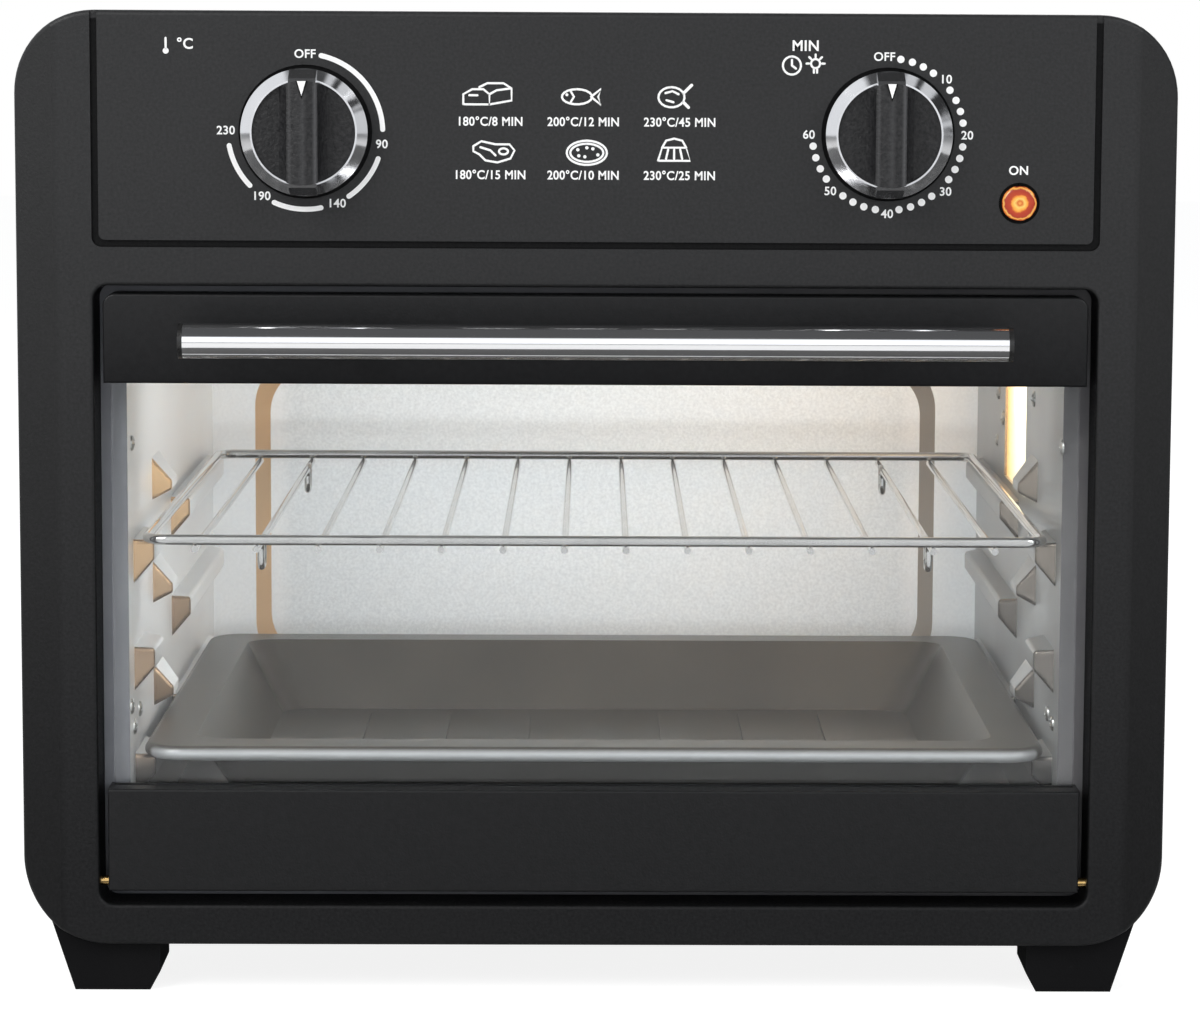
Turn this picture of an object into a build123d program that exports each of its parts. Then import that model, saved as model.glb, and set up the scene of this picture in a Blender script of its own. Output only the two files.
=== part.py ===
from build123d import *
import os

# Cabinet: room beside and over the cavity, and depth from the frame face to the back
side_room = 36
roof_room = 101.5
body_depth = 357
foot_height = 17
top_corner_radius = 28
bottom_corner_radius = 30

# Moulded front frame
frame_depth = 24
frame_wall = 2.6
frame_edge_radius = 1.8
wing_width = 13.5
wing_drop = 6
recess_corner_radius = 5
recess_lip_radius = 1.4
frame_boss_radius = 4.5
frame_boss_bore = 1.6
frame_boss_low = 30
frame_boss_high = 12
frame_boss_blind = 6
knob_well_rim = 4

# Sheet steel and the fits between sheet parts
sheet = 1
wrapper_inset = 1.2
fit_gap = 0.2
running_gap = 0.05

# Oven cavity
cavity_width = 323
cavity_height = 195.5
cavity_depth = 313
cavity_rise = 24
mouth_setback = 17
mouth_side = 9.2
mouth_below = 9.8
mouth_above = 8.6
mouth_corner_radius = 3
back_draw_side = 18
back_draw_depth = 6
back_draw_corner = 22
back_draw_low = 18
back_draw_high = 42
ceiling_draw = 5
shaft_hole_gap = 2

# Rack guides pressed into the side walls
guide_levels = 3
guide_top_level = 113.4
guide_pitch = 38
guide_reach = 7.2
guide_height = 16.5
guide_slot = 6
guide_front_slope = 1.5
guide_back_slope = 7
guide_lip = 0.6
guide_long_run = 9
guide_short_run = 4
guide_edge_radius = 1.6
front_guide = (33, 70)
holding_guide = (95, 121)
rear_guide = (160, 310)

# Door
door_side_gap = 3
door_bottom_gap = 4.5
door_top_gap = 2.8
door_setback = 1
door_thickness = 14
upper_rail_height = 30.5
lower_rail_height = 35.7
rail_corner_radius = 4
rail_wall = 2
rail_edge_radius = 0.8
glass_thickness = 4
glass_side_inset = 1.5
glass_hold = 8
glass_back = 1.5
hinge_depth = 5
hinge_rise = 3
hinge_pin_radius = 1.7
hinge_pin_grip = 7
hinge_pin_end_gap = 0.5

# Handle
handle_reach = 28
handle_length = 276
handle_height = 11.6
handle_thickness = 9
handle_wall = 1.2
handle_rise = 16.3
handle_cap = 1.6
handle_post_spacing = 166
handle_post_radius = 5
handle_screw_radius = 1.7
handle_screw_head = 3.8
handle_screw_head_height = 2.4
handle_screw_length = 14

# Control panel groove
groove_inset = 26.5
groove_width = 2.4
groove_depth = 1.1
groove_rise = 13.1
groove_corner = 3.4

# Knobs and the controls behind them
knob_spacing = 197
knob_drop = 40.6
knob_radius = 21.4
knob_face_radius = 17.4
knob_well_gap = 1.2
knob_well_depth = 1.5
knob_lift = 0.9
knob_ring_back = 2
knob_ring_edge = 6.6
knob_ring_front = 9.4
knob_face_front = 8.4
knob_grip_front = 17.5
knob_grip_half = 8.2
knob_crest_half = 5.2
knob_tab_half = 4.6
knob_tab_drop = 0.8
shaft_end_gap = 3
control_corner = 4
bell_gap = 2
bell_stud_radius = 3
shaft_radius = 3
shaft_flat = 2.2
bush_radius = 4.5
control_body = 34
control_body_depth = 30
bell_radius = 18
bell_height = 9

# Power lamp
power_lamp_inset = 27.7
power_lamp_drop = 23
power_lamp_radius = 5.9
power_lamp_crown = 1.6
power_lamp_length = 20

# Oven lamp in the right wall
lamp_window = (138, 216)
lamp_window_low = 116.5
lamp_window_high = 178
lamp_glass_thickness = 3
lamp_border = 3
lamp_box_depth = 27
bulb_radius = 10
bulb_length = 44
bulb_gap = 3
socket_radius = 8
socket_length = 16

# Heaters
heater_radius = 3.25
lower_heater_depths = (100, 250)
upper_heater_depths = (50, 280)
lower_heater_rise = 6.5
upper_heater_drop = 16
insulator_radius = 4.8
insulator_flange = 6.2
insulator_flange_thickness = 2.4
insulator_length = 14
terminal_length = 6

# Fan, its guard and motor
fan_radius = 78
fan_pocket_gap = 12
fan_pocket_height = 15
fan_height = 8
fan_blades = 10
fan_hub_radius = 13
fan_guard_gap = 2
guard_margin = 7
guard_ring_slots = (20, 12)
guard_slot_rings = ((52, 82), (20, 42))
guard_slot_width = 4.5
motor_shaft_radius = 3
shield_height = 20
shield_side_gap = 11
shield_front = 60
shield_back = 300
motor_stand = 12
motor_core_height = 20
motor_core_half_width = 27
motor_limb_reach = 21
motor_limb = 10
motor_window_inset = 9
motor_window_half = 14
motor_rotor_radius = 11.6
motor_air_gap = 0.4
motor_post_radius = 2.5
motor_post_offset = 21
motor_strap_half = 13
motor_strap_thickness = 2
motor_coil_overhang = 4
motor_bracket_margin = 4
cooling_fan_radius = 34
cooling_fan_blades = 6
cooling_fan_lift = 4
cooling_fan_hub_radius = 8
cooling_fan_hub_height = 9
cooling_blade_width = 14
cooling_blade_thickness = 1.2
cooling_blade_pitch = 28

# Wire rack
rack_side_gap = 4.25
rack_depth = 281
rack_front = 16
rack_bar_radius = 1.8
rack_wire_radius = 1.25
rack_wire_margin = 18.8
rack_wires = 14
rack_corner = 7
rack_loop_drop = 9
rack_loop_width = 9
rack_loop_inset = 20

# Baking pan
pan_side_gap = 3.8
pan_depth = 264
pan_front = 17
pan_drop = 27
pan_flange = 17
pan_slope = 15
pan_bead_radius = 2.6
pan_corner = 11
pan_ribs = 7
pan_rib_pitch = 32
pan_rib_width = 13
pan_rib_height = 1.4
pan_rib_end_gap = 15

# Feet
foot_width = 35
foot_depth = 30
foot_end_inset = 5
foot_side_inset = 12
foot_taper = 5.5
foot_chamfer_width = 3.5
foot_chamfer_height = 6.5

# Vents, gland and fasteners
vent_slot_width = 3
vent_slot_length = 26
vent_slot_pitch = 8
side_vent_count = 9
back_vent_count = 22
vent_drop = 32
base_vent_start = 26
back_vent_drop = 12
back_vent_gap = 8
back_panel_inset = 2
gland_x = -120
gland_rise = 40
gland_radius = 7
gland_bore = 3.8
gland_flange = 10
gland_collar = 4
case_screw_radius = 3.6
case_screw_head = 2
case_screw_side = 30
case_screw_end = 14

# Places worked out from the sizes above
body_width = cavity_width + 2 * side_room
cavity_floor_z = foot_height + cavity_rise
body_height = cavity_floor_z + cavity_height + roof_room
face_y = handle_reach - (body_depth + handle_reach) / 2
half_body = body_width / 2
crease_x = half_body - wing_width
half_cavity = cavity_width / 2
cavity_top_z = cavity_floor_z + cavity_height
cavity_front = mouth_setback + sheet
cavity_back = mouth_setback + sheet + cavity_depth
recess_width = cavity_width + 2 * mouth_side
recess_low = cavity_floor_z - mouth_below
recess_high = cavity_top_z + mouth_above
door_width = recess_width - 2 * door_side_gap
door_low = recess_low + door_bottom_gap
door_high = recess_high - door_top_gap
door_back = door_setback + door_thickness
hinge_z = door_low + hinge_rise
glass_far = door_back - glass_back
glass_near = glass_far - glass_thickness
handle_z = door_high - upper_rail_height + handle_rise
knob_z = body_height - knob_drop
groove_span = body_width - 2 * groove_inset
power_lamp_x = groove_span / 2 - power_lamp_inset
panel_back = frame_wall + knob_well_depth
power_lamp_z = knob_z - power_lamp_drop
fan_depth = (cavity_front + cavity_back) / 2
pocket_radius = fan_radius + fan_pocket_gap
pocket_top_z = cavity_top_z + fan_pocket_height
shaft_hole_radius = motor_shaft_radius + shaft_hole_gap
shield_side = half_cavity - shield_side_gap
shield_z = cavity_top_z + sheet + shield_height
motor_low_z = shield_z + sheet + motor_stand
motor_high_z = motor_low_z + motor_core_height
rack_width = cavity_width - 2 * rack_side_gap
rack_wire_pitch = (rack_width - 2 * rack_wire_margin) / (rack_wires - 1)
rack_z = cavity_floor_z + guide_top_level + rack_bar_radius
pan_width = cavity_width - 2 * pan_side_gap
back_draw_width = cavity_width - 2 * back_draw_side
pan_rim_z = cavity_floor_z + guide_top_level - 2 * guide_pitch + 2 * pan_bead_radius
back_panel_depth = body_depth - back_panel_inset


def slab(sketch, near, far):
    """Front view (x across, z up) made solid between two depths behind the frame face."""
    plane = Plane(origin=(0, face_y + far, 0), x_dir=(1, 0, 0), z_dir=(0, -1, 0))
    return extrude(plane * sketch, far - near, dir=(0, -1, 0))


def block(x_limits, depths, z_limits):
    """Box between three pairs of limits, the middle pair as depths behind the frame face."""
    size = [high - low for low, high in (x_limits, depths, z_limits)]
    middle = [(low + high) / 2 for low, high in (x_limits, depths, z_limits)]
    return Pos(middle[0], face_y + middle[1], middle[2]) * Box(*size)


def rod_back(x, z, radius, near, far):
    """Round rod along the depth."""
    return slab(Pos(x, z) * Circle(radius), near, far)


def rod_across(depth, z, radius, x_low, x_high):
    """Round rod from side to side."""
    middle = Pos((x_low + x_high) / 2, face_y + depth, z)
    return middle * Rot(0, 90, 0) * Cylinder(radius, x_high - x_low)


def rod_up(x, depth, radius, z_low, z_high):
    """Round rod along the height."""
    return Pos(x, face_y + depth, (z_low + z_high) / 2) * Cylinder(radius, z_high - z_low)


def window(width, low, high, radius):
    """Rounded rectangle in the front view, centred across."""
    return Pos(0, (low + high) / 2) * RectangleRounded(width, high - low, radius)


def both_sides(solid):
    """The solid and its mirror image across the middle of the oven."""
    return [solid, mirror(solid, Plane.YZ)]


def cabinet_outline(inset):
    """Front view of the cabinet, with its upper and its larger lower corners rounded."""
    low = foot_height + inset
    high = body_height - inset
    face = Pos(0, (low + high) / 2) * Rectangle(body_width - 2 * inset, high - low)
    face = fillet(face.vertices().group_by(Axis.Y)[-1], top_corner_radius - inset)
    return fillet(face.vertices().group_by(Axis.Y)[0], bottom_corner_radius - inset)


def wing_cut(setback):
    """What lies in front of the sloped wing of the frame, moved back by the given amount."""
    overrun = 2
    slope = wing_drop / wing_width
    outer = half_body + overrun
    points = [
        (crease_x, face_y - overrun),
        (outer, face_y - overrun),
        (outer, face_y + setback + slope * (outer - crease_x)),
        (crease_x, face_y + setback),
    ]
    return extrude(Plane.XY * Polygon(*points, align=None), body_height + overrun, dir=(0, 0, 1))


def front_frame():
    """Moulded bezel: sloped wings, door recess with its collar, knob wells and screw bosses."""
    shell = slab(cabinet_outline(0), 0, frame_depth)
    for wedge in both_sides(wing_cut(0)):
        shell -= wedge
    rim = shell.edges().filter_by(lambda e: e.center().Y < face_y + wing_drop + frame_edge_radius)
    rim = rim.filter_by(lambda e: abs(e.center().X) > crease_x + 0.5 or abs(e.tangent_at(0.5).X) > 0.9)
    shell = fillet(rim, frame_edge_radius)
    hollow = slab(cabinet_outline(frame_wall), frame_wall, frame_depth + 1)
    for wedge in both_sides(wing_cut(frame_wall)):
        hollow -= wedge
    shell -= hollow
    collar = window(
        recess_width + 2 * frame_wall,
        recess_low - frame_wall,
        recess_high + frame_wall,
        recess_corner_radius + frame_wall,
    )
    shell += slab(collar, frame_wall / 2, frame_depth)
    boss_x = (recess_width / 2 + half_body) / 2
    boss_heights = [recess_low + frame_boss_low, (recess_low + recess_high) / 2, recess_high - frame_boss_high]
    for boss_z in boss_heights:
        for boss in both_sides(rod_back(boss_x, boss_z, frame_boss_radius, frame_wall, frame_depth)):
            shell += boss
    for side in (-1, 1):
        shell += rod_back(side * knob_spacing / 2, knob_z, knob_radius + knob_well_rim, frame_wall / 2, panel_back)
    shell -= slab(window(recess_width, recess_low, recess_high, recess_corner_radius), -1, frame_depth + 1)
    inner_half = recess_width / 2 + 1
    lip = shell.edges().filter_by(
        lambda e: abs(e.center().Y - face_y) < 0.01
        and abs(e.center().X) < inner_half
        and recess_low - 1 < e.center().Z < recess_high + 1
    )
    shell = fillet(lip, recess_lip_radius)
    groove_low = recess_high + groove_rise
    groove_top = body_height + groove_corner + groove_width
    groove = window(groove_span, groove_low, groove_top, groove_corner)
    groove -= window(
        groove_span - 2 * groove_width,
        groove_low + groove_width,
        groove_top + groove_width,
        groove_corner - groove_width / 2,
    )
    shell -= slab(groove, -1, groove_depth)
    for side in (-1, 1):
        knob_x = side * knob_spacing / 2
        shell -= rod_back(knob_x, knob_z, knob_radius + knob_well_gap, -1, knob_well_depth)
        shell -= rod_back(knob_x, knob_z, bush_radius + fit_gap, 0, panel_back + 1)
    shell -= rod_back(power_lamp_x, power_lamp_z, power_lamp_radius + fit_gap, -1, frame_wall + 1)
    for boss_z in boss_heights:
        blind = frame_wall + frame_boss_blind
        for bore in both_sides(rod_back(boss_x, boss_z, frame_boss_bore, blind, frame_depth + 1)):
            shell -= bore
    for pin in both_sides(hinge_pin()):
        shell -= pin
    return shell


def hinge_pin():
    """Right-hand hinge pin: from its seat in the frame's collar into the end of the door."""
    outer = recess_width / 2 + frame_wall
    return rod_across(hinge_depth, hinge_z, hinge_pin_radius, door_width / 2 - hinge_pin_grip, outer)


def hinge_pins():
    return both_sides(hinge_pin())


def outer_wrapper():
    """Bent steel cover over the top and both sides, louvred at the sides, open underneath."""
    cover = slab(cabinet_outline(wrapper_inset), frame_depth, body_depth)
    cover -= slab(cabinet_outline(wrapper_inset + sheet), frame_depth - 1, body_depth + 1)
    half_base = half_body - bottom_corner_radius
    bottom = (0, foot_height + wrapper_inset + 2 * sheet)
    cover -= block((-half_base, half_base), (frame_depth - 1, body_depth + 1), bottom)
    vent_z = body_height - top_corner_radius - vent_drop
    middle = (frame_depth + body_depth) / 2
    for step in range(side_vent_count):
        depth = middle + (step - (side_vent_count - 1) / 2) * vent_slot_pitch
        cover -= block(
            (-half_body - 1, half_body + 1),
            (depth - vent_slot_width / 2, depth + vent_slot_width / 2),
            (vent_z - vent_slot_length / 2, vent_z + vent_slot_length / 2),
        )
    return cover


def base_plate():
    """Flat steel plate that closes the cabinet underneath."""
    half_base = half_body - bottom_corner_radius
    low = foot_height + wrapper_inset
    plate = block((-half_base, half_base), (frame_depth, body_depth), (low, low + sheet))
    middle = (frame_depth + body_depth) / 2
    for step in range(side_vent_count):
        x = (step - (side_vent_count - 1) / 2) * 2 * vent_slot_pitch
        plate -= block(
            (x - vent_slot_width / 2, x + vent_slot_width / 2),
            (middle - base_vent_start - vent_slot_length, middle - base_vent_start),
            (low - sheet, low + 2 * sheet),
        )
    return plate


def back_panel():
    """Steel back, set into the cover, with two rows of vent slots and the cord gland's hole."""
    panel = slab(cabinet_outline(wrapper_inset + sheet + fit_gap), back_panel_depth - sheet, back_panel_depth)
    for row in (0, 1):
        z = body_height - top_corner_radius - back_vent_drop - row * (vent_slot_length + back_vent_gap)
        for step in range(back_vent_count):
            x = (step - (back_vent_count - 1) / 2) * 1.5 * vent_slot_pitch
            panel -= block(
                (x - vent_slot_width / 2, x + vent_slot_width / 2),
                (back_panel_depth - 2 * sheet, back_panel_depth + sheet),
                (z - vent_slot_length / 2, z + vent_slot_length / 2),
            )
    gland_z = foot_height + gland_rise
    return panel - rod_back(gland_x, gland_z, gland_radius, back_panel_depth - 2 * sheet, body_depth)


def cord_gland():
    """Moulded grommet with a flange each side of the back panel."""
    z = foot_height + gland_rise
    gland = rod_back(gland_x, z, gland_radius, back_panel_depth - sheet, back_panel_depth)
    gland += rod_back(gland_x, z, gland_flange, back_panel_depth, body_depth)
    collar_far = back_panel_depth - sheet
    gland += rod_back(gland_x, z, gland_flange, collar_far - gland_collar, collar_far)
    return gland - rod_back(gland_x, z, gland_bore, collar_far - gland_collar - 1, body_depth + 1)


def foot(side, near):
    """Tapered foot, its top cut to the rounded lower corner of the cabinet."""
    outer = half_body - foot_side_inset
    inner = outer - foot_width
    top = foot_height + bottom_corner_radius / 2
    points = [
        (outer - foot_taper, 0),
        (inner + foot_chamfer_width, 0),
        (inner, foot_chamfer_height),
        (inner, top),
        (outer + foot_taper * (top / foot_height - 1), top),
    ]
    solid = slab(Polygon(*points, align=None), near, near + foot_depth)
    solid -= slab(cabinet_outline(0), -1, frame_depth)
    solid -= slab(cabinet_outline(wrapper_inset), frame_depth - 1, body_depth)
    return solid if side > 0 else mirror(solid, Plane.YZ)


def cavity_mouth_frame():
    """Flat steel flange round the cavity's mouth, inside the frame's collar."""
    plate = window(
        recess_width - 2 * fit_gap,
        recess_low + fit_gap,
        recess_high - fit_gap,
        recess_corner_radius - fit_gap,
    )
    plate -= window(cavity_width, cavity_floor_z, cavity_top_z, mouth_corner_radius)
    return slab(plate, mouth_setback, mouth_setback + sheet)


def side_face(x, depths, z_limits):
    """Upright rectangle in a plane across X, the limits given as depths and heights."""
    plane = Plane(origin=(x, 0, 0), x_dir=(0, 1, 0), z_dir=(1, 0, 0))
    middle_y = face_y + (depths[0] + depths[1]) / 2
    middle_z = (z_limits[0] + z_limits[1]) / 2
    return plane * Pos(middle_y, middle_z) * Rectangle(depths[1] - depths[0], z_limits[1] - z_limits[0])


def guide_form(depths, low, high, steep_low, shrink):
    """Pressed guide as a tapered block on the left wall; its steep face is the one that bears."""
    low_run = guide_short_run if steep_low else guide_long_run
    high_run = guide_long_run if steep_low else guide_lip
    base = side_face(
        -half_cavity - sheet / 2,
        (depths[0] + shrink, depths[1] - shrink),
        (low + shrink, high - shrink),
    )
    tip = side_face(
        -half_cavity + guide_reach - shrink,
        (depths[0] + guide_front_slope + shrink, depths[1] - guide_back_slope - shrink),
        (low + low_run + shrink, high - high_run - shrink),
    )
    form = loft([base.face(), tip.face()], ruled=True)
    free_edges = form.edges().filter_by(lambda edge: edge.center().X > -half_cavity)
    return fillet(free_edges, guide_edge_radius - shrink)


def guide_places():
    """Depths, heights and bearing face of every guide on one wall."""
    places = []
    for level in range(guide_levels):
        top = cavity_floor_z + guide_top_level - level * guide_pitch
        places.append((front_guide, top - guide_height, top, False))
        places.append((rear_guide, top - guide_height, top, False))
        places.append((holding_guide, top + guide_slot, top + guide_slot + guide_height, True))
    return places


def side_wall():
    """Left cavity wall: steel sheet with the rack guides pressed inwards."""
    heights = (cavity_floor_z, cavity_top_z)
    wall = block((-half_cavity - sheet, -half_cavity), (cavity_front, cavity_back), heights)
    for depths, low, high, steep_low in guide_places():
        wall += guide_form(depths, low, high, steep_low, 0)
    for depths, low, high, steep_low in guide_places():
        wall -= guide_form(depths, low, high, steep_low, sheet * 0.8)
        middle_y = (depths[0] + depths[1]) / 2
        margin = sheet * 0.8
        wall -= block(
            (-half_cavity - 2 * sheet, -half_cavity - sheet / 2 + 0.01),
            (depths[0] + margin, depths[1] - margin),
            (low + margin, high - margin),
        )
    for depth, z in heater_ends():
        wall -= rod_across(depth, z, insulator_radius, -half_cavity - 2 * sheet, -half_cavity + sheet)
    return wall


def heater_ends():
    """Depth and height of every heater rod."""
    low = [(depth, cavity_floor_z + lower_heater_rise) for depth in lower_heater_depths]
    high = [(depth, cavity_top_z - upper_heater_drop) for depth in upper_heater_depths]
    return low + high


def lamp_opening(margin):
    """Limits of the lamp window in the right wall, widened by a margin."""
    depths = (lamp_window[0] - margin, lamp_window[1] + margin)
    heights = (cavity_floor_z + lamp_window_low - margin, cavity_floor_z + lamp_window_high + margin)
    return depths, heights


def right_wall():
    """Right cavity wall: the mirrored wall with the lamp window cut out."""
    depths, heights = lamp_opening(0)
    wall = mirror(side_wall(), Plane.YZ)
    return wall - block((half_cavity - 1, half_cavity + 2 * sheet), depths, heights)


def cavity_back_wall():
    """Back of the cavity, with a wide panel drawn backwards."""
    wall = block(
        (-half_cavity - sheet, half_cavity + sheet),
        (cavity_back, cavity_back + sheet),
        (cavity_floor_z - sheet, cavity_top_z + sheet),
    )
    low = cavity_floor_z + back_draw_low
    high = cavity_top_z - back_draw_high
    for grow, shift in ((sheet * 0.8, sheet), (0, 0)):
        mouth = window(back_draw_width + 2 * grow, low - grow, high + grow, back_draw_corner + grow)
        floor = window(
            back_draw_width - 2 * back_draw_depth + 2 * grow,
            low + back_draw_depth - grow,
            high - back_draw_depth + grow,
            back_draw_corner - back_draw_depth / 2 + grow,
        )
        near = Plane(origin=(0, face_y + cavity_back, 0), x_dir=(1, 0, 0), z_dir=(0, -1, 0)) * mouth
        far_y = face_y + cavity_back + back_draw_depth + shift
        far = Plane(origin=(0, far_y, 0), x_dir=(1, 0, 0), z_dir=(0, -1, 0)) * floor
        drawn = loft([near.face(), far.face()], ruled=True)
        wall = wall + drawn if shift else wall - drawn
    return wall


def cavity_ceiling():
    """Ceiling sheet with a round pocket drawn upwards for the fan."""
    width = (-half_cavity - sheet, half_cavity + sheet)
    plate = block(width, (cavity_front, cavity_back), (cavity_top_z, cavity_top_z + sheet))
    pocket_end = pocket_radius - ceiling_draw
    pocket = Pos(0, face_y + fan_depth, cavity_top_z + (fan_pocket_height + sheet) / 2)
    plate += pocket * Cone(pocket_radius + sheet, pocket_end + sheet, fan_pocket_height + sheet)
    hollow = Pos(0, face_y + fan_depth, cavity_top_z + fan_pocket_height / 2)
    plate -= hollow * Cone(pocket_radius, pocket_end, fan_pocket_height)
    return plate - rod_up(0, fan_depth, shaft_hole_radius, cavity_top_z, pocket_top_z + 2 * sheet)


def cavity_floor():
    """Floor sheet of the cavity."""
    return block(
        (-half_cavity - sheet, half_cavity + sheet),
        (cavity_front, cavity_back),
        (cavity_floor_z - sheet, cavity_floor_z),
    )


def heater_rods(depths, z):
    """Straight sheathed heater rods with thinner terminal pins at both ends."""
    reach = half_cavity + insulator_length / 2 + 1
    rods = []
    for depth in depths:
        rod = rod_across(depth, z, heater_radius, -reach, reach)
        rod += rod_across(depth, z, heater_radius / 2, -reach - terminal_length, reach + terminal_length)
        rods.append(rod)
    return rods


def heater_insulators():
    """Ceramic bushes that carry the rods through the side walls."""
    bushes = []
    for depth, z in heater_ends():
        outside = half_cavity + insulator_length / 2
        bush = rod_across(depth, z, insulator_radius, half_cavity - insulator_length / 2, outside)
        flange_start = half_cavity - insulator_flange_thickness
        bush += rod_across(depth, z, insulator_flange, flange_start, half_cavity)
        bush -= rod_across(depth, z, heater_radius, flange_start - insulator_length, outside + 1)
        bushes += both_sides(bush)
    return bushes


def fan_guard():
    """Slotted disc under the fan, fixed against the ceiling."""
    guard = rod_up(0, fan_depth, pocket_radius + guard_margin, cavity_top_z - sheet, cavity_top_z)
    for count, (inner, outer) in zip(guard_ring_slots, guard_slot_rings):
        for step in range(count):
            slot = Pos((inner + outer) / 2, 0, 0) * Box(outer - inner, guard_slot_width, 6 * sheet)
            place = Pos(0, face_y + fan_depth, cavity_top_z) * Rot(0, 0, 360 * step / count)
            guard -= place * slot
    return guard


def hot_air_fan():
    """Radial fan: back disc, hub and straight blades."""
    low = cavity_top_z + fan_guard_gap
    high = low + fan_height
    wheel = rod_up(0, fan_depth, fan_radius, high, high + sheet)
    wheel += rod_up(0, fan_depth, fan_hub_radius, low, high)
    blade_start = fan_hub_radius - 1
    for step in range(fan_blades):
        blade = Pos((blade_start + fan_radius) / 2, 0, (low + high) / 2)
        blade = blade * Box(fan_radius - blade_start - 1, 1.4, fan_height)
        wheel += Pos(0, face_y + fan_depth, 0) * Rot(0, 0, 360 * step / fan_blades) * blade
    return wheel - fan_shaft()


def fan_shaft():
    """Motor shaft from the hot-air fan to the cooling fan."""
    high = motor_high_z + motor_strap_thickness + cooling_fan_lift + cooling_fan_hub_height + sheet
    return rod_up(0, fan_depth, motor_shaft_radius, cavity_top_z + fan_guard_gap, high)


def heat_shield():
    """Folded steel tray over the ceiling; the motor stands on it."""
    low = cavity_top_z + sheet
    tray = block((-shield_side, shield_side), (shield_front, shield_back), (low, shield_z + sheet))
    inside = (-shield_side + sheet, shield_side - sheet)
    tray -= block(inside, (shield_front - 1, shield_back + 1), (low - 1, shield_z))
    return tray - rod_up(0, fan_depth, shaft_hole_radius, shield_z - sheet, shield_z + 2 * sheet)


def motor_bracket():
    """Two bearing straps joined by posts, standing on legs over the heat shield."""
    half_y = motor_core_half_width + motor_bracket_margin
    mid = fan_depth
    half = motor_strap_half
    strap_low = motor_low_z - motor_strap_thickness
    straps = block((-half, half), (mid - half_y, mid + half_y), (strap_low, motor_low_z))
    high_strap = (motor_high_z, motor_high_z + motor_strap_thickness)
    straps += block((-half, half), (mid - half_y, mid + half_y), high_strap)
    for side in (-1, 1):
        edge = mid + side * half_y
        limits = sorted((edge, edge - side * motor_strap_thickness))
        straps += block((-half, half), limits, (shield_z + sheet, motor_low_z))
        post_depth = mid + side * motor_post_offset
        straps += rod_up(0, post_depth, motor_post_radius, strap_low, high_strap[1])
    return straps - rod_up(0, mid, motor_shaft_radius + running_gap, strap_low - 1, high_strap[1] + 1)


def motor_core():
    """Stack of laminations with the rotor bore, a window and post holes."""
    half = motor_core_half_width
    tail = half + motor_limb_reach
    z_limits = (motor_low_z, motor_high_z)
    core = block((-half, tail), (fan_depth - half, fan_depth + half), z_limits)
    core -= rod_up(0, fan_depth, motor_rotor_radius + motor_air_gap, z_limits[0] - 1, z_limits[1] + 1)
    opening = (fan_depth - motor_window_half, fan_depth + motor_window_half)
    core -= block((half - motor_window_inset, tail - motor_limb), opening, (z_limits[0] - 1, z_limits[1] + 1))
    for side in (-1, 1):
        post_depth = fan_depth + side * motor_post_offset
        core -= rod_up(0, post_depth, motor_post_radius, z_limits[0] - 1, z_limits[1] + 1)
    return core


def motor_coil():
    """Winding round the far limb of the laminations."""
    tail = motor_core_half_width + motor_limb_reach
    over = motor_coil_overhang
    half = motor_window_half - motor_air_gap
    coil = block(
        (tail - motor_limb - over, tail + over),
        (fan_depth - half, fan_depth + half),
        (motor_low_z - over, motor_high_z + over),
    )
    reach = (fan_depth - half - 1, fan_depth + half + 1)
    return coil - block((tail - motor_limb, tail), reach, (motor_low_z, motor_high_z))


def motor_rotor():
    """Rotor on the shaft inside the laminations."""
    low = motor_low_z + motor_air_gap
    rotor = rod_up(0, fan_depth, motor_rotor_radius, low, motor_high_z - motor_air_gap)
    return rotor - fan_shaft()


def cooling_fan():
    """Small fan on the top of the shaft that cools the motor."""
    low = motor_high_z + motor_strap_thickness + cooling_fan_lift
    wheel = rod_up(0, fan_depth, cooling_fan_hub_radius, low, low + cooling_fan_hub_height)
    blade_start = cooling_fan_hub_radius - cooling_blade_thickness
    for step in range(cooling_fan_blades):
        middle = Pos((blade_start + cooling_fan_radius) / 2, 0, low + cooling_fan_hub_height / 2)
        blade = Box(cooling_fan_radius - blade_start, cooling_blade_width, cooling_blade_thickness)
        blade = middle * Rot(cooling_blade_pitch, 0, 0) * blade
        wheel += Pos(0, face_y + fan_depth, 0) * Rot(0, 0, 360 * step / cooling_fan_blades) * blade
    return wheel - fan_shaft()


def control_shaft(side):
    """Steel control shaft with the flat that drives its knob."""
    x = side * knob_spacing / 2
    near = -knob_grip_front + shaft_end_gap
    shaft = rod_back(x, knob_z, shaft_radius, near, control_body_depth / 2 + panel_back)
    below = (knob_z - 2 * shaft_radius, knob_z - shaft_flat)
    return shaft - block((x - shaft_radius, x + shaft_radius), (near - 1, 0), below)


def control_switch(side):
    """Thermostat or timer body with the bush that comes through the panel."""
    x = side * knob_spacing / 2
    half = control_body / 2
    depths = (panel_back, panel_back + control_body_depth)
    body = block((x - half, x + half), depths, (knob_z - half, knob_z + half))
    body = fillet(body.edges().filter_by(Axis.Y), control_corner)
    body += rod_back(x, knob_z, bush_radius, knob_well_depth, panel_back)
    far = panel_back + control_body_depth / 2
    return body - rod_back(x, knob_z, shaft_radius + running_gap, 0, far + fit_gap)


def timer_bell():
    """Bell cup on the back of the timer."""
    x = knob_spacing / 2
    near = panel_back + control_body_depth
    rim = near + bell_gap
    bell = rod_back(x, knob_z, bell_radius, rim, rim + bell_height)
    bell -= rod_back(x, knob_z, bell_radius - sheet, near, rim + bell_height - sheet)
    return bell + rod_back(x, knob_z, bell_stud_radius, near, rim + bell_height)


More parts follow.
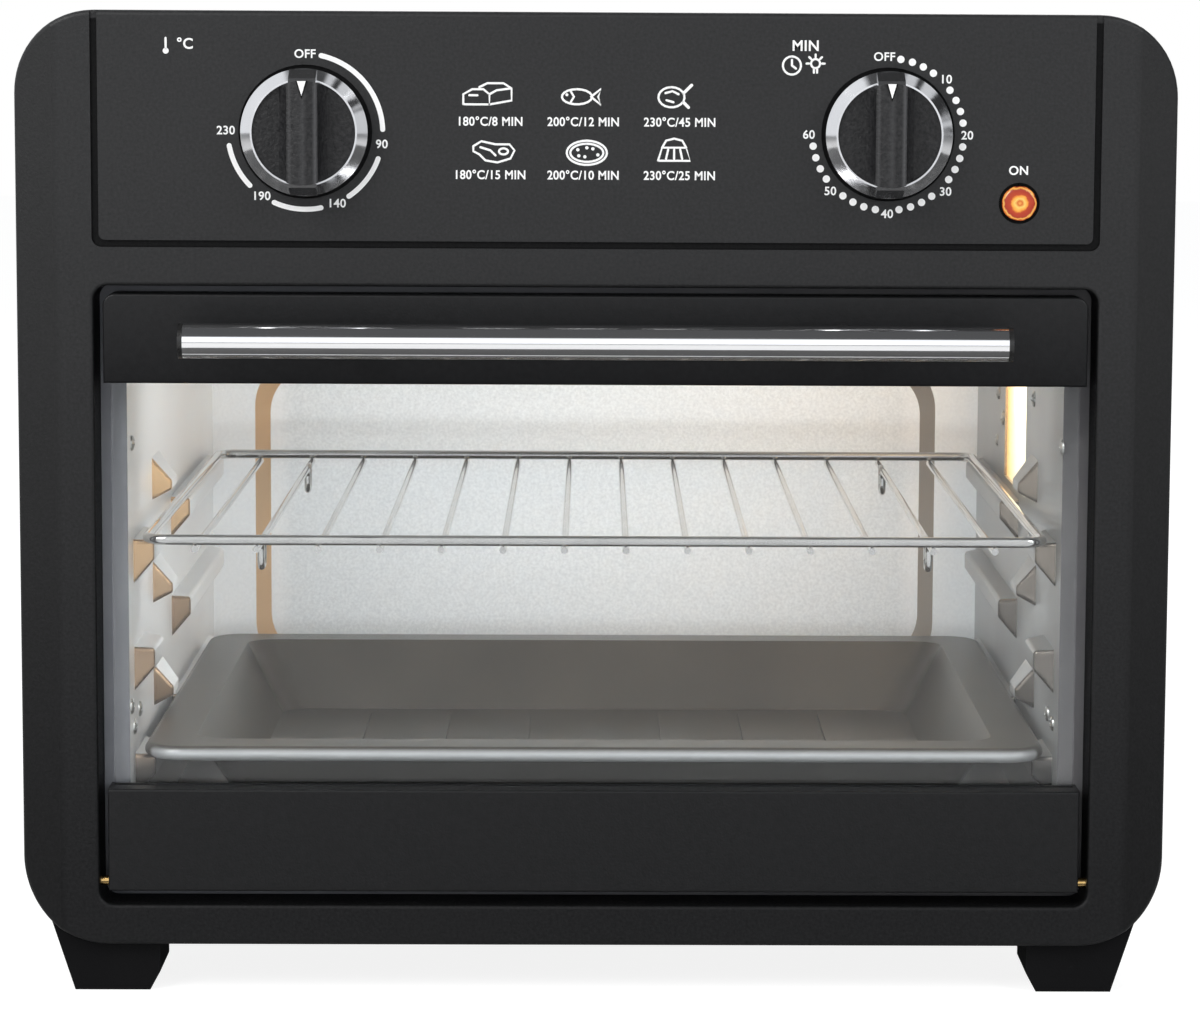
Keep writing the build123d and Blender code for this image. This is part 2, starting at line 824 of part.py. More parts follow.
def knob(side):
    """Moulded knob: round face, back skirt and the raised grip bar with hollow flanks."""
    x = side * knob_spacing / 2
    back = knob_well_depth - knob_lift
    body = rod_back(x, knob_z, knob_radius - 0.4, -knob_ring_back, back)
    body += rod_back(x, knob_z, knob_face_radius, -knob_face_front, -knob_ring_back)
    y_face = face_y - knob_face_front
    y_crest = face_y - knob_grip_front
    flank_y = (y_face + y_crest) / 2 + 1.5
    flank_x = knob_crest_half + 0.6
    profile = [
        Line((-knob_grip_half, y_face + 1), (knob_grip_half, y_face + 1)),
        Line((knob_grip_half, y_face + 1), (knob_grip_half, y_face)),
        ThreePointArc((knob_grip_half, y_face), (flank_x, flank_y), (knob_crest_half, y_crest + 1)),
        ThreePointArc((knob_crest_half, y_crest + 1), (0, y_crest), (-knob_crest_half, y_crest + 1)),
        ThreePointArc((-knob_crest_half, y_crest + 1), (-flank_x, flank_y), (-knob_grip_half, y_face)),
        Line((-knob_grip_half, y_face), (-knob_grip_half, y_face + 1)),
    ]
    section = make_face(Curve() + profile)
    grip = extrude(Plane.XY * section, 2 * knob_radius, dir=(0, 0, 1))
    grip = Pos(x, 0, knob_z - knob_radius) * grip
    grip &= rod_back(x, knob_z, knob_face_radius, -knob_grip_front - 5, 5)
    return body + grip - control_shaft(side)


def knob_ring(side):
    """Chromed ring, bevelled towards its inner rim, with a raised tab at each end of the grip."""
    x = side * knob_spacing / 2
    outer = knob_radius
    inner = knob_face_radius
    points = [
        (inner, knob_ring_back),
        (outer, knob_ring_back),
        (outer, knob_ring_edge),
        (inner + 0.6, knob_ring_front),
        (inner, knob_ring_front),
    ]
    plane = Plane(origin=(x, face_y, knob_z), x_dir=(1, 0, 0), z_dir=(0, 0, 1))
    section = plane * Polygon(*[(r, -d) for r, d in points], align=None)
    ring = revolve(section, Axis((x, face_y, knob_z), (0, 1, 0)), 360)
    tab_side = Plane(origin=(x - knob_tab_half, face_y, knob_z), x_dir=(0, -1, 0), z_dir=(1, 0, 0))
    tab = Polygon(
        (knob_ring_back, inner - 1),
        (knob_grip_front - knob_tab_drop, inner - 1),
        (knob_grip_front - 2 * knob_tab_drop, inner + knob_tab_drop),
        (knob_ring_edge + 2, outer - 0.3),
        (knob_ring_back, outer - 0.3),
        align=None,
    )
    tabs = extrude(tab_side * tab, 2 * knob_tab_half, dir=(1, 0, 0))
    tabs += mirror(tabs, Plane(origin=(x, face_y, knob_z), z_dir=(0, 0, 1)))
    tabs -= rod_back(x, knob_z, inner, -knob_grip_front - 5, 5)
    return ring + tabs


def power_lamp_lens():
    """Round amber lens with a low crown."""
    lens = rod_back(power_lamp_x, power_lamp_z, power_lamp_radius, -power_lamp_crown, frame_wall)
    front = lens.edges().sort_by(Axis.Y)[0]
    return fillet(front, power_lamp_crown * 0.9)


def power_lamp_body():
    """Holder behind the lens with its neon lamp."""
    return rod_back(
        power_lamp_x, power_lamp_z, power_lamp_radius + 1.5, frame_wall, frame_wall + power_lamp_length
    )


def oven_lamp_glass():
    """Flat pane behind the window in the right wall."""
    depths, heights = lamp_opening(lamp_border - fit_gap)
    x = half_cavity + sheet
    return block((x, x + lamp_glass_thickness), depths, heights)


def oven_lamp_holder():
    """Folded box outside the wall that carries the pane and the bulb's socket."""
    x = half_cavity + sheet
    outer = x + lamp_box_depth
    depths, heights = lamp_opening(lamp_border + sheet)
    box = block((x, outer), depths, heights)
    depths, heights = lamp_opening(lamp_border)
    box -= block((x - 1, outer - sheet), depths, heights)
    bulb_z = (heights[0] + heights[1]) / 2
    bulb_x = outer - bulb_radius - bulb_gap
    return box + rod_back(bulb_x, bulb_z, socket_radius, depths[1] - socket_length, depths[1])


def oven_lamp_bulb():
    """Tubular bulb with a round tip, screwed into its socket."""
    depths, heights = lamp_opening(lamp_border)
    bulb_z = (heights[0] + heights[1]) / 2
    bulb_x = half_cavity + sheet + lamp_box_depth - bulb_radius - bulb_gap
    far = depths[1] - socket_length
    bulb = rod_back(bulb_x, bulb_z, bulb_radius, far - bulb_length, far)
    return fillet(bulb.edges().sort_by(Axis.Y)[0], bulb_radius * 0.9)


def rail(low, high, rounded_high):
    """Door rail as a channel open at the back, closed at the ends and solid where it holds the glass."""
    face = Pos(0, (low + high) / 2) * Rectangle(door_width, high - low)
    if rounded_high:
        face = fillet(face.vertices().group_by(Axis.Y)[-1], rail_corner_radius)
    bar = slab(face, door_setback, door_back)
    front = bar.edges().filter_by(lambda e: abs(e.center().Y - face_y - door_setback) < 0.01)
    bar = fillet(front, rail_edge_radius)
    half_glass = door_width / 2 - glass_side_inset
    end = hinge_pin_grip + rail_wall
    if rounded_high:
        pocket = (low + glass_hold + rail_wall, high - rail_wall)
        slot = (low - 1, low + glass_hold)
    else:
        pocket = (low + rail_wall, high - glass_hold - rail_wall)
        slot = (high - glass_hold, high + 1)
    half_pocket = door_width / 2 - end
    bar -= block((-half_pocket, half_pocket), (door_setback + rail_wall, door_back + 1), pocket)
    slot_depths = (glass_near - running_gap, glass_far + running_gap)
    return bar - block((-half_glass - fit_gap, half_glass + fit_gap), slot_depths, slot)


def door_upper_rail():
    """Upper rail with the holes for the two handle screws."""
    bar = rail(door_high - upper_rail_height, door_high, True)
    for side in (-1, 1):
        x = side * handle_post_spacing / 2
        bar -= rod_back(x, handle_z, handle_screw_radius + running_gap, 0, door_setback + rail_wall + 1)
    return bar


def door_lower_rail():
    """Lower rail with a bore in each end for its hinge pin."""
    bar = rail(door_low, door_low + lower_rail_height, False)
    reach = door_width / 2 - hinge_pin_grip - hinge_pin_end_gap
    for side in (-1, 1):
        limits = sorted((side * reach, side * (door_width / 2 + 1)))
        bar -= rod_across(hinge_depth, hinge_z, hinge_pin_radius + running_gap, *limits)
    return bar


def door_glass():
    """Toughened pane, held top and bottom in the rails and bare at its sides."""
    half_glass = door_width / 2 - glass_side_inset
    low = door_low + lower_rail_height - glass_hold
    high = door_high - upper_rail_height + glass_hold
    return block((-half_glass, half_glass), (glass_near, glass_far), (low, high))


def handle_profile(length, wall):
    """Length of the handle bar's section, drawn in by a wall: round in front, flat towards the door."""
    front = face_y - handle_reach + wall
    back = face_y - handle_reach + handle_thickness - wall
    half = handle_height / 2 - wall
    plane = Plane(origin=(0, 0, handle_z), x_dir=(0, 1, 0), z_dir=(1, 0, 0))
    lines = [
        Line((back, -half), (back, half)),
        Line((back, half), (front + half, half)),
        ThreePointArc((front + half, half), (front, 0), (front + half, -half)),
        Line((front + half, -half), (back, -half)),
    ]
    return extrude(plane * make_face(Curve() + lines), length, dir=(1, 0, 0))


def handle_bar():
    """Chromed tube with a rounded front."""
    tube = handle_profile(handle_length, 0) - handle_profile(handle_length, handle_wall)
    return Pos(-handle_length / 2, 0, 0) * tube


def handle_end_caps():
    """Black plugs that close the ends of the bar."""
    cap = Pos(handle_length / 2, 0, 0) * handle_profile(handle_cap, 0)
    return both_sides(cap)


def handle_posts():
    """Round posts between the door and the bar."""
    near = handle_thickness - handle_reach
    posts = []
    for side in (-1, 1):
        x = side * handle_post_spacing / 2
        post = rod_back(x, handle_z, handle_post_radius, near, door_setback)
        posts.append(post - handle_screw(side))
    return posts


def handle_screw(side):
    """Screw from inside the upper rail into a handle post."""
    x = side * handle_post_spacing / 2
    seat = door_setback + rail_wall
    screw = rod_back(x, handle_z, handle_screw_radius, seat - handle_screw_length, seat)
    return screw + rod_back(x, handle_z, handle_screw_head, seat, seat + handle_screw_head_height)


def handle_screws():
    return [handle_screw(-1), handle_screw(1)]


def rack_frame():
    """Outer loop of the rack, one bent and welded bar."""
    middle_y = face_y + rack_front + rack_depth / 2
    radius = rack_bar_radius
    loop = RectangleRounded(rack_width - 2 * radius, rack_depth - 2 * radius, rack_corner)
    path = (Pos(0, middle_y, rack_z) * loop).wire()
    start = path @ 0
    section = Plane(origin=start, z_dir=path % 0) * Circle(radius)
    return sweep(section, path)


def rack_cross_wires():
    """Wires under the loop; the second from each side dips twice to hook on the guides."""
    near = face_y + rack_front
    far = near + rack_depth
    z = rack_z - rack_bar_radius - rack_wire_radius
    wires = []
    for step in range(rack_wires):
        x = (step - (rack_wires - 1) / 2) * rack_wire_pitch
        if step in (1, rack_wires - 2):
            points = [(x, near, z)]
            for start in (near + rack_loop_inset, far - rack_loop_inset - rack_loop_width):
                points += [
                    (x, start, z),
                    (x, start, z - rack_loop_drop),
                    (x, start + rack_loop_width, z - rack_loop_drop),
                    (x, start + rack_loop_width, z),
                ]
            points.append((x, far, z))
            path = FilletPolyline(*points, radius=rack_wire_radius * 2.4)
        else:
            path = Line((x, near, z), (x, far, z))
        section = Plane(origin=path @ 0, z_dir=path % 0) * Circle(rack_wire_radius)
        wires.append(sweep(section, path))
    return wires


def pan_box(width, depth, z, radius):
    """Horizontal rounded rectangle centred on the pan."""
    middle_y = face_y + pan_front + pan_depth / 2
    return Pos(0, middle_y, z) * RectangleRounded(width, depth, radius)


def baking_pan():
    """Pressed tray: rolled bead, flat flange, sloped walls and a ribbed floor."""
    top = pan_rim_z
    floor = top - pan_drop
    well_width = pan_width - 2 * pan_flange
    well_depth = pan_depth - 2 * pan_flange
    slope = pan_slope

    def well(grow, low):
        upper = pan_box(well_width + 2 * grow, well_depth + 2 * grow, top, pan_corner + grow)
        lower_width = well_width - 2 * slope + 2 * grow
        lower = pan_box(lower_width, well_depth - 2 * slope + 2 * grow, low, pan_corner + grow)
        return loft([lower.face(), upper.face()], ruled=True)

    bead_width = pan_width - 2 * pan_bead_radius
    bead_depth = pan_depth - 2 * pan_bead_radius
    tray = extrude(pan_box(bead_width, bead_depth, top - sheet, pan_corner), sheet)
    tray += well(sheet * 0.9, floor)
    path = pan_box(bead_width, bead_depth, top - pan_bead_radius, pan_corner).wire()
    section = Plane(origin=path @ 0, z_dir=path % 0) * Circle(pan_bead_radius)
    tray += sweep(section, path)
    tray -= well(0, floor + sheet)
    rib_length = well_depth - 2 * slope - 2 * pan_rib_end_gap
    middle = pan_front + pan_depth / 2
    for step in range(pan_ribs):
        x = (step - (pan_ribs - 1) / 2) * pan_rib_pitch
        depths = (middle - rib_length / 2, middle + rib_length / 2)
        half = pan_rib_width / 2
        tray += block((x - half, x + half), depths, (floor + sheet, floor + sheet + pan_rib_height))
        inner = (depths[0] + sheet, depths[1] - sheet)
        tray -= block((x - half + sheet, x + half - sheet), inner, (floor - 1, floor + pan_rib_height))
    return tray


def case_screws():
    """Pan-head screws that hold the back panel."""
    screws = []
    far = back_panel_depth + case_screw_head
    for x in (case_screw_side - half_body, 0, half_body - case_screw_side):
        for z in (foot_height + case_screw_end, body_height - case_screw_end):
            screws.append(rod_back(x, z, case_screw_radius, back_panel_depth, far))
    return screws


rear_foot_depth = body_depth - foot_end_inset - foot_depth
parts = {
    "front_frame": front_frame(),
    "outer_wrapper": outer_wrapper(),
    "base_plate": base_plate(),
    "back_panel": back_panel(),
    "cord_gland": cord_gland(),
    "case_screws": case_screws(),
    "front_left_foot": foot(-1, foot_end_inset),
    "front_right_foot": foot(1, foot_end_inset),
    "rear_left_foot": foot(-1, rear_foot_depth),
    "rear_right_foot": foot(1, rear_foot_depth),
    "cavity_mouth_frame": cavity_mouth_frame(),
    "cavity_left_wall": side_wall(),
    "cavity_right_wall": right_wall(),
    "cavity_back_wall": cavity_back_wall(),
    "cavity_ceiling": cavity_ceiling(),
    "cavity_floor": cavity_floor(),
    "upper_heater_rods": heater_rods(upper_heater_depths, cavity_top_z - upper_heater_drop),
    "lower_heater_rods": heater_rods(lower_heater_depths, cavity_floor_z + lower_heater_rise),
    "heater_insulators": heater_insulators(),
    "fan_guard": fan_guard(),
    "hot_air_fan": hot_air_fan(),
    "fan_shaft": fan_shaft(),
    "heat_shield": heat_shield(),
    "motor_bracket": motor_bracket(),
    "motor_core": motor_core(),
    "motor_coil": motor_coil(),
    "motor_rotor": motor_rotor(),
    "cooling_fan": cooling_fan(),
    "thermostat_body": control_switch(-1),
    "timer_body": control_switch(1),
    "timer_bell": timer_bell(),
    "temperature_shaft": control_shaft(-1),
    "timer_shaft": control_shaft(1),
    "temperature_knob": knob(-1),
    "timer_knob": knob(1),
    "temperature_knob_ring": knob_ring(-1),
    "timer_knob_ring": knob_ring(1),
    "power_lamp_lens": power_lamp_lens(),
    "power_lamp_body": power_lamp_body(),
    "oven_lamp_glass": oven_lamp_glass(),
    "oven_lamp_holder": oven_lamp_holder(),
    "oven_lamp_bulb": oven_lamp_bulb(),
    "hinge_pins": hinge_pins(),
    "door_upper_rail": door_upper_rail(),
    "door_lower_rail": door_lower_rail(),
    "door_glass": door_glass(),
    "handle_bar": handle_bar(),
    "handle_end_caps": handle_end_caps(),
    "handle_posts": handle_posts(),
    "handle_screws": handle_screws(),
    "rack_frame": rack_frame(),
    "rack_wires": rack_cross_wires(),
    "baking_pan": baking_pan(),
}

os.makedirs("parts", exist_ok=True)
for name, shape in parts.items():
    pieces = shape if isinstance(shape, list) else [shape]
    solids = [solid for piece in pieces for solid in piece.solids()]
    export_step(Compound(children=solids), f"parts/{name}.step")
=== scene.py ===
import bpy
import numpy as np
from mathutils import Matrix, Vector


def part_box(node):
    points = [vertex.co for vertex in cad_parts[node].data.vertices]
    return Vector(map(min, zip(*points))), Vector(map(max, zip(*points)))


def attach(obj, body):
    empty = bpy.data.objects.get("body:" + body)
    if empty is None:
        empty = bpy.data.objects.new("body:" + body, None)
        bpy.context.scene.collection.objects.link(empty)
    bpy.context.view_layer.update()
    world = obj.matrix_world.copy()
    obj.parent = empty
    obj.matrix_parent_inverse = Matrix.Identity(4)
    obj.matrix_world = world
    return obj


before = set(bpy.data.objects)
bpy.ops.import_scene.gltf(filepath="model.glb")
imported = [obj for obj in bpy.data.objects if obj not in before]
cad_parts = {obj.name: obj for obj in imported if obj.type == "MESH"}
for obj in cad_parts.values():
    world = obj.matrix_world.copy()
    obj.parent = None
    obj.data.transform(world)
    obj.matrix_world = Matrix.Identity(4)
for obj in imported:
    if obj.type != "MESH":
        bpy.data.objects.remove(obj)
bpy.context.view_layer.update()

# The camera: a little above the cabinet's top, turned slightly to the right.
# Lens and place are the ones from which the real oven's edges line up.
face_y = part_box("front_frame")[0].y
camera_place = Vector((-0.0006, face_y - 1.3833, 0.3371))
turn, tilt, lean = np.radians((0.709, 6.887, 0.304))
photo_width, photo_middle, focal_pixels, sensor = 1200, 643.8, 4076.1, 36
ahead = Vector((np.sin(turn) * np.cos(tilt), np.cos(turn) * np.cos(tilt), -np.sin(tilt)))
level = Vector((np.cos(turn), -np.sin(turn), 0))
upward = level.cross(ahead)
right = level * np.cos(lean) + upward * np.sin(lean)
above = upward * np.cos(lean) - level * np.sin(lean)
camera_data = bpy.data.cameras.new("camera")
camera_data.sensor_width = sensor
camera_data.lens = focal_pixels * sensor / photo_width
camera_data.shift_x = (photo_width / 2 - photo_middle) / photo_width
camera = bpy.data.objects.new("camera", camera_data)
camera.matrix_world = Matrix((
    (right.x, above.x, -ahead.x, camera_place.x),
    (right.y, above.y, -ahead.y, camera_place.y),
    (right.z, above.z, -ahead.z, camera_place.z),
    (0, 0, 0, 1),
))
bpy.context.scene.collection.objects.link(camera)
bpy.context.scene.camera = camera
bpy.context.scene.view_settings.view_transform = "Standard"

# The studio: a white floor that keeps a soft contact shadow, and soft lamps to both sides,
# over the oven and behind it. The camera sees white all round. Gloss sees a surround that is
# bright low down, to the left and behind, dark overhead, and broken into panes to the right.
world = bpy.data.worlds.new("studio")
bpy.context.scene.world = world
world.use_nodes = True
sky = world.node_tree
sky.nodes.clear()


def climb(tree, value, start, end, low=0, high=1):
    """Goes from low to high while a value runs from start to end."""
    ramp = tree.nodes.new("ShaderNodeMapRange")
    for socket, number in (("From Min", start), ("From Max", end), ("To Min", low), ("To Max", high)):
        ramp.inputs[socket].default_value = number
    tree.links.new(value, ramp.inputs["Value"])
    return ramp.outputs[0]


def cloud(tree, place, scale, detail=2):
    """Noise over a place, with finer patches for a larger scale."""
    noise = tree.nodes.new("ShaderNodeTexNoise")
    noise.inputs["Scale"].default_value = scale
    noise.inputs["Detail"].default_value = detail
    tree.links.new(place, noise.inputs["Vector"])
    return noise.outputs[0]


def joined(tree, operation, first, second):
    """Two values joined by adding, multiplying or taking the larger."""
    sums = tree.nodes.new("ShaderNodeMath")
    sums.operation = operation
    tree.links.new(first, sums.inputs[0])
    tree.links.new(second, sums.inputs[1])
    return sums.outputs[0]


def between(share, first, second):
    """Strength that goes from the first to the second, a socket or a number, with a share."""
    mix = sky.nodes.new("ShaderNodeMix")
    sky.links.new(share, mix.inputs["Factor"])
    sky.links.new(first, mix.inputs["A"])
    if isinstance(second, float):
        mix.inputs["B"].default_value = second
    else:
        sky.links.new(second, mix.inputs["B"])
    return mix.outputs["Result"]


def surround(colour, strength=1.0):
    """Even background light of one colour."""
    light = sky.nodes.new("ShaderNodeBackground")
    light.inputs["Color"].default_value = (*colour, 1)
    light.inputs["Strength"].default_value = strength
    return light


def either(share, first, second):
    """Shader that goes from the first to the second with a share."""
    mix = sky.nodes.new("ShaderNodeMixShader")
    sky.links.new(share, mix.inputs["Fac"])
    sky.links.new(first, mix.inputs[1])
    sky.links.new(second, mix.inputs[2])
    return mix.outputs[0]


rays = sky.nodes.new("ShaderNodeLightPath")
way = sky.nodes.new("ShaderNodeTexCoord").outputs["Generated"]
parts = sky.nodes.new("ShaderNodeSeparateXYZ")
sky.links.new(way, parts.inputs[0])
# The limits are shares of a direction along an axis: X to the right, Y to the back, Z up.
low_glow, overhead, west_glow, behind_glow = 1.3, 0.09, 1.1, 0.75
pane_dark, pane_light, pane_scale = 0.04, 0.85, 2.6
height_glow = climb(sky, parts.outputs["Z"], 0.5, 0.6, low_glow, overhead)
panes = climb(sky, cloud(sky, way, pane_scale), 0.47, 0.53, pane_dark, pane_light)
east = climb(sky, parts.outputs["X"], 0.3, 0.36)
west = climb(sky, parts.outputs["X"], -0.3, -0.4)
high_up = climb(sky, parts.outputs["Z"], 0.55, 0.62)
north = climb(sky, parts.outputs["Y"], 0.5, 0.56)
strength = between(east, height_glow, panes)
strength = between(west, strength, west_glow)
strength = between(joined(sky, "MULTIPLY", high_up, north), strength, behind_glow)
mirrored = surround((0.95, 0.97, 1))
sky.links.new(strength, mirrored.inputs["Strength"])
ambient = surround((0.96, 0.98, 1), 0.38)
white = surround((1, 1, 1))
seen_through = joined(sky, "MAXIMUM", rays.outputs["Is Camera Ray"], rays.outputs["Is Transmission Ray"])
for_gloss = either(rays.outputs["Is Glossy Ray"], ambient.outputs[0], mirrored.outputs[0])
for_camera = either(seen_through, for_gloss, white.outputs[0])
sky.links.new(for_camera, sky.nodes.new("ShaderNodeOutputWorld").inputs["Surface"])

floor_mesh = bpy.data.meshes.new("floor")
floor_half = 6
floor_corners = [(-1, -1, 0), (1, -1, 0), (1, 1, 0), (-1, 1, 0)]
floor_mesh.from_pydata([Vector(corner) * floor_half for corner in floor_corners], [], [(0, 1, 2, 3)])
floor = bpy.data.objects.new("floor", floor_mesh)
bpy.context.scene.collection.objects.link(floor)
floor_paint = bpy.data.materials.new("floor_paint")
floor_paint.use_nodes = True
tree = floor_paint.node_tree
tree.nodes.clear()
painted = tree.nodes.new("ShaderNodeBsdfDiffuse")
painted.inputs["Color"].default_value = (0.8, 0.8, 0.8, 1)
glow = tree.nodes.new("ShaderNodeEmission")
glow_strength, glow_share = 1.4, 0.62
glow.inputs["Strength"].default_value = glow_strength
rays = tree.nodes.new("ShaderNodeLightPath")
for_eye = tree.nodes.new("ShaderNodeMath")
for_eye.operation = "MULTIPLY"
for_eye.inputs[1].default_value = glow_share
tree.links.new(rays.outputs["Is Camera Ray"], for_eye.inputs[0])
blend = tree.nodes.new("ShaderNodeMixShader")
tree.links.new(for_eye.outputs[0], blend.inputs["Fac"])
tree.links.new(painted.outputs[0], blend.inputs[1])
tree.links.new(glow.outputs[0], blend.inputs[2])
tree.links.new(blend.outputs[0], tree.nodes.new("ShaderNodeOutputMaterial").inputs["Surface"])
floor_mesh.materials.append(floor_paint)

# A dark card lies on the floor before the oven. Only reflections see it: it gives the
# chrome its dark lines and lets the lower front fall off.
card_mesh = bpy.data.meshes.new("card")
card_near, card_far, card_half, card_lift = face_y - 0.03, face_y - 0.3, 1, 0.001
card_mesh.from_pydata(
    [
        (-card_half, card_far, card_lift),
        (card_half, card_far, card_lift),
        (card_half, card_near, card_lift),
        (-card_half, card_near, card_lift),
    ],
    [],
    [(0, 1, 2, 3)],
)
card = bpy.data.objects.new("card", card_mesh)
bpy.context.scene.collection.objects.link(card)
card_paint = bpy.data.materials.new("card_paint")
card_paint.use_nodes = True
card_shader = card_paint.node_tree.nodes["Principled BSDF"]
card_shader.inputs["Base Color"].default_value = (0.07, 0.07, 0.07, 1)
card_mesh.materials.append(card_paint)
card.visible_camera = card.visible_diffuse = card.visible_shadow = card.visible_transmission = False


def lamp(name, place, target, size, power, colour, seen=True, spread=180):
    """Rectangular lamp at a place, facing a target. Gloss and glass show it only where it may be seen."""
    data = bpy.data.lights.new(name, "AREA")
    data.shape = "RECTANGLE"
    data.size, data.size_y = size
    data.energy = power
    data.color = colour
    data.spread = np.radians(spread)
    light = bpy.data.objects.new(name, data)
    light.location = place
    light.rotation_euler = (Vector(target) - Vector(place)).to_track_quat("-Z", "Y").to_euler()
    light.visible_camera = False
    light.visible_glossy = seen
    light.visible_transmission = seen
    bpy.context.scene.collection.objects.link(light)
    return light


lamp("soft_left", (-1.2, -1.5, 1.5), (0, 0, 0.15), (1.1, 1.1), 26, (1, 0.99, 0.98))
lamp("soft_right", (1.4, -1.3, 1.3), (0, 0, 0.15), (0.9, 1.1), 14, (0.98, 0.99, 1))
lamp("soft_top", (0, 0.1, 1.8), (0, 0, 0.3), (1.4, 1.1), 12, (1, 1, 1), False)
lamp("soft_back", (0.6, 1.7, 1.2), (0, 0.1, 0.2), (1, 1), 11, (1, 1, 1))


# The front frame: one moulding in black ABS, finely textured, with a printed panel.
# Tiny grain breaks the reflection and dust-fine mottle keeps the black from being flat.
frame_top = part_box("front_frame")[1].z


def surface(
    name, dark, light, patch=30, rough=(0.4, 0.5), metal=0.0, grain=900, depth=0.1,
    stretch=(1, 1, 1), specular=0.5,
):
    """Material from two tones mottled over patches, a roughness range and a bump grain.

    The stretch draws patches and grain out along an axis.
    """
    made = bpy.data.materials.new(name)
    made.use_nodes = True
    nodes, links = made.node_tree.nodes, made.node_tree.links
    shader = nodes["Principled BSDF"]
    shader.inputs["Metallic"].default_value = metal
    shader.inputs["Specular IOR Level"].default_value = specular
    place = nodes.new("ShaderNodeTexCoord")
    drawn = nodes.new("ShaderNodeMapping")
    drawn.inputs["Scale"].default_value = stretch
    links.new(place.outputs["Object"], drawn.inputs["Vector"])
    lowest, highest, grain_height = 0.3, 0.7, 0.0003
    tones = nodes.new("ShaderNodeValToRGB")
    for element, position, tone in zip(tones.color_ramp.elements, (lowest, highest), (dark, light)):
        element.position = position
        element.color = (*tone, 1)
    links.new(cloud(made.node_tree, drawn.outputs[0], patch, 5), tones.inputs["Fac"])
    links.new(tones.outputs["Color"], shader.inputs["Base Color"])
    fine = cloud(made.node_tree, drawn.outputs[0], grain, 3)
    links.new(climb(made.node_tree, fine, lowest, highest, *rough), shader.inputs["Roughness"])
    bump = nodes.new("ShaderNodeBump")
    bump.inputs["Strength"].default_value = depth
    bump.inputs["Distance"].default_value = grain_height
    links.new(fine, bump.inputs["Height"])
    links.new(bump.outputs[0], shader.inputs["Normal"])
    return made


def band(made, axis, start, end, source="Object"):
    """Rises from 0 to 1 while an axis of the object's place, or of its normal, runs from start to end."""
    nodes, links = made.node_tree.nodes, made.node_tree.links
    place = nodes.new("ShaderNodeTexCoord")
    parts = nodes.new("ShaderNodeSeparateXYZ")
    links.new(place.outputs[source], parts.inputs[0])
    return climb(made.node_tree, parts.outputs[axis], start, end)


def overlap(made, *shares):
    """Product of shares."""
    whole = shares[0]
    for share in shares[1:]:
        whole = joined(made.node_tree, "MULTIPLY", whole, share)
    return whole


def tint(made, share, colour, mode="MIX"):
    """Where the share is 1, the finish takes the colour, mixed over or multiplied into its own."""
    nodes, links = made.node_tree.nodes, made.node_tree.links
    base = nodes["Principled BSDF"].inputs["Base Color"]
    blend = nodes.new("ShaderNodeMix")
    blend.data_type = "RGBA"
    blend.blend_type = mode
    links.new(share, blend.inputs["Factor"])
    links.new(base.links[0].from_socket, blend.inputs["A"])
    blend.inputs["B"].default_value = (*colour, 1)
    links.new(blend.outputs["Result"], base)


def vary(made, socket, share, low, high):
    """A shader value runs from low to high with a share."""
    tree = made.node_tree
    tree.links.new(climb(tree, share, 0, 1, low, high), tree.nodes["Principled BSDF"].inputs[socket])


def dress(finish, *nodes):
    """The finish takes the material slot of each named CAD node."""
    for name in nodes:
        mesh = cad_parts[name].data
        mesh.materials.clear()
        mesh.materials.append(finish)


frame_black = surface(
    "frame_black", (0.008, 0.0082, 0.0088), (0.0165, 0.0167, 0.0177), 900, (0.44, 0.56), 0, 1100, 0.3
)
# Painted shade: the moulding darkens towards its foot, on its wings, and in what is sunk
# behind its face: the door recess, the grooves and the knob wells. Where this shade is painted, the moulding
# also reflects less.
shade_top, shade_foot = 0.29, 0.03
# Painted shade, darker towards the foot of the moulding.
foot_shade = band(frame_black, "Z", shade_top, shade_foot)
tint(frame_black, foot_shade, (0.8, 0.8, 0.8), "MULTIPLY")
wing_start, wing_end = 0.1815, 0.1845
# Painted shade on the wings.
for side in (1, -1):
    wing_shade = band(frame_black, "X", side * wing_start, side * wing_end)
    tint(frame_black, wing_shade, (0.6, 0.6, 0.6), "MULTIPLY")
sunk_start, sunk_end, soft_edge = 0.0003, 0.0008, 0.001
sunk_half, sunk_low, sunk_high = 0.1732, 0.0295, frame_top - 0.0025
# Painted shade in the door recess, the grooves and the knob wells.
sunk_shade = overlap(
    frame_black,
    band(frame_black, "Y", face_y + sunk_start, face_y + sunk_end),
    band(frame_black, "X", -sunk_half, soft_edge - sunk_half),
    band(frame_black, "X", sunk_half, sunk_half - soft_edge),
    band(frame_black, "Z", sunk_low, sunk_low + soft_edge),
    band(frame_black, "Z", sunk_high, sunk_high - soft_edge / 2),
)
tint(frame_black, sunk_shade, (0.4, 0.4, 0.4), "MULTIPLY")
foot_share = 0.72
duller = frame_black.node_tree.nodes.new("ShaderNodeMath")
duller.operation = "MULTIPLY_ADD"
frame_black.node_tree.links.new(foot_shade, duller.inputs[0])
duller.inputs[1].default_value = foot_share
frame_black.node_tree.links.new(sunk_shade, duller.inputs[2])
vary(frame_black, "Specular IOR Level", duller.outputs[0], 0.38, 0.1)
dress(frame_black, "front_frame")

# Printing on the control panel: two dial scales, small signs, a word over the lamp and a
# heating guide, screened in white ink. Each mark is a thin layer on the panel's face.
ink = surface("panel_ink", (0.93, 0.93, 0.93), (0.97, 0.97, 0.97), 400, (0.45, 0.55), 0, 2500, 0.1)
ink_height = 0.00006


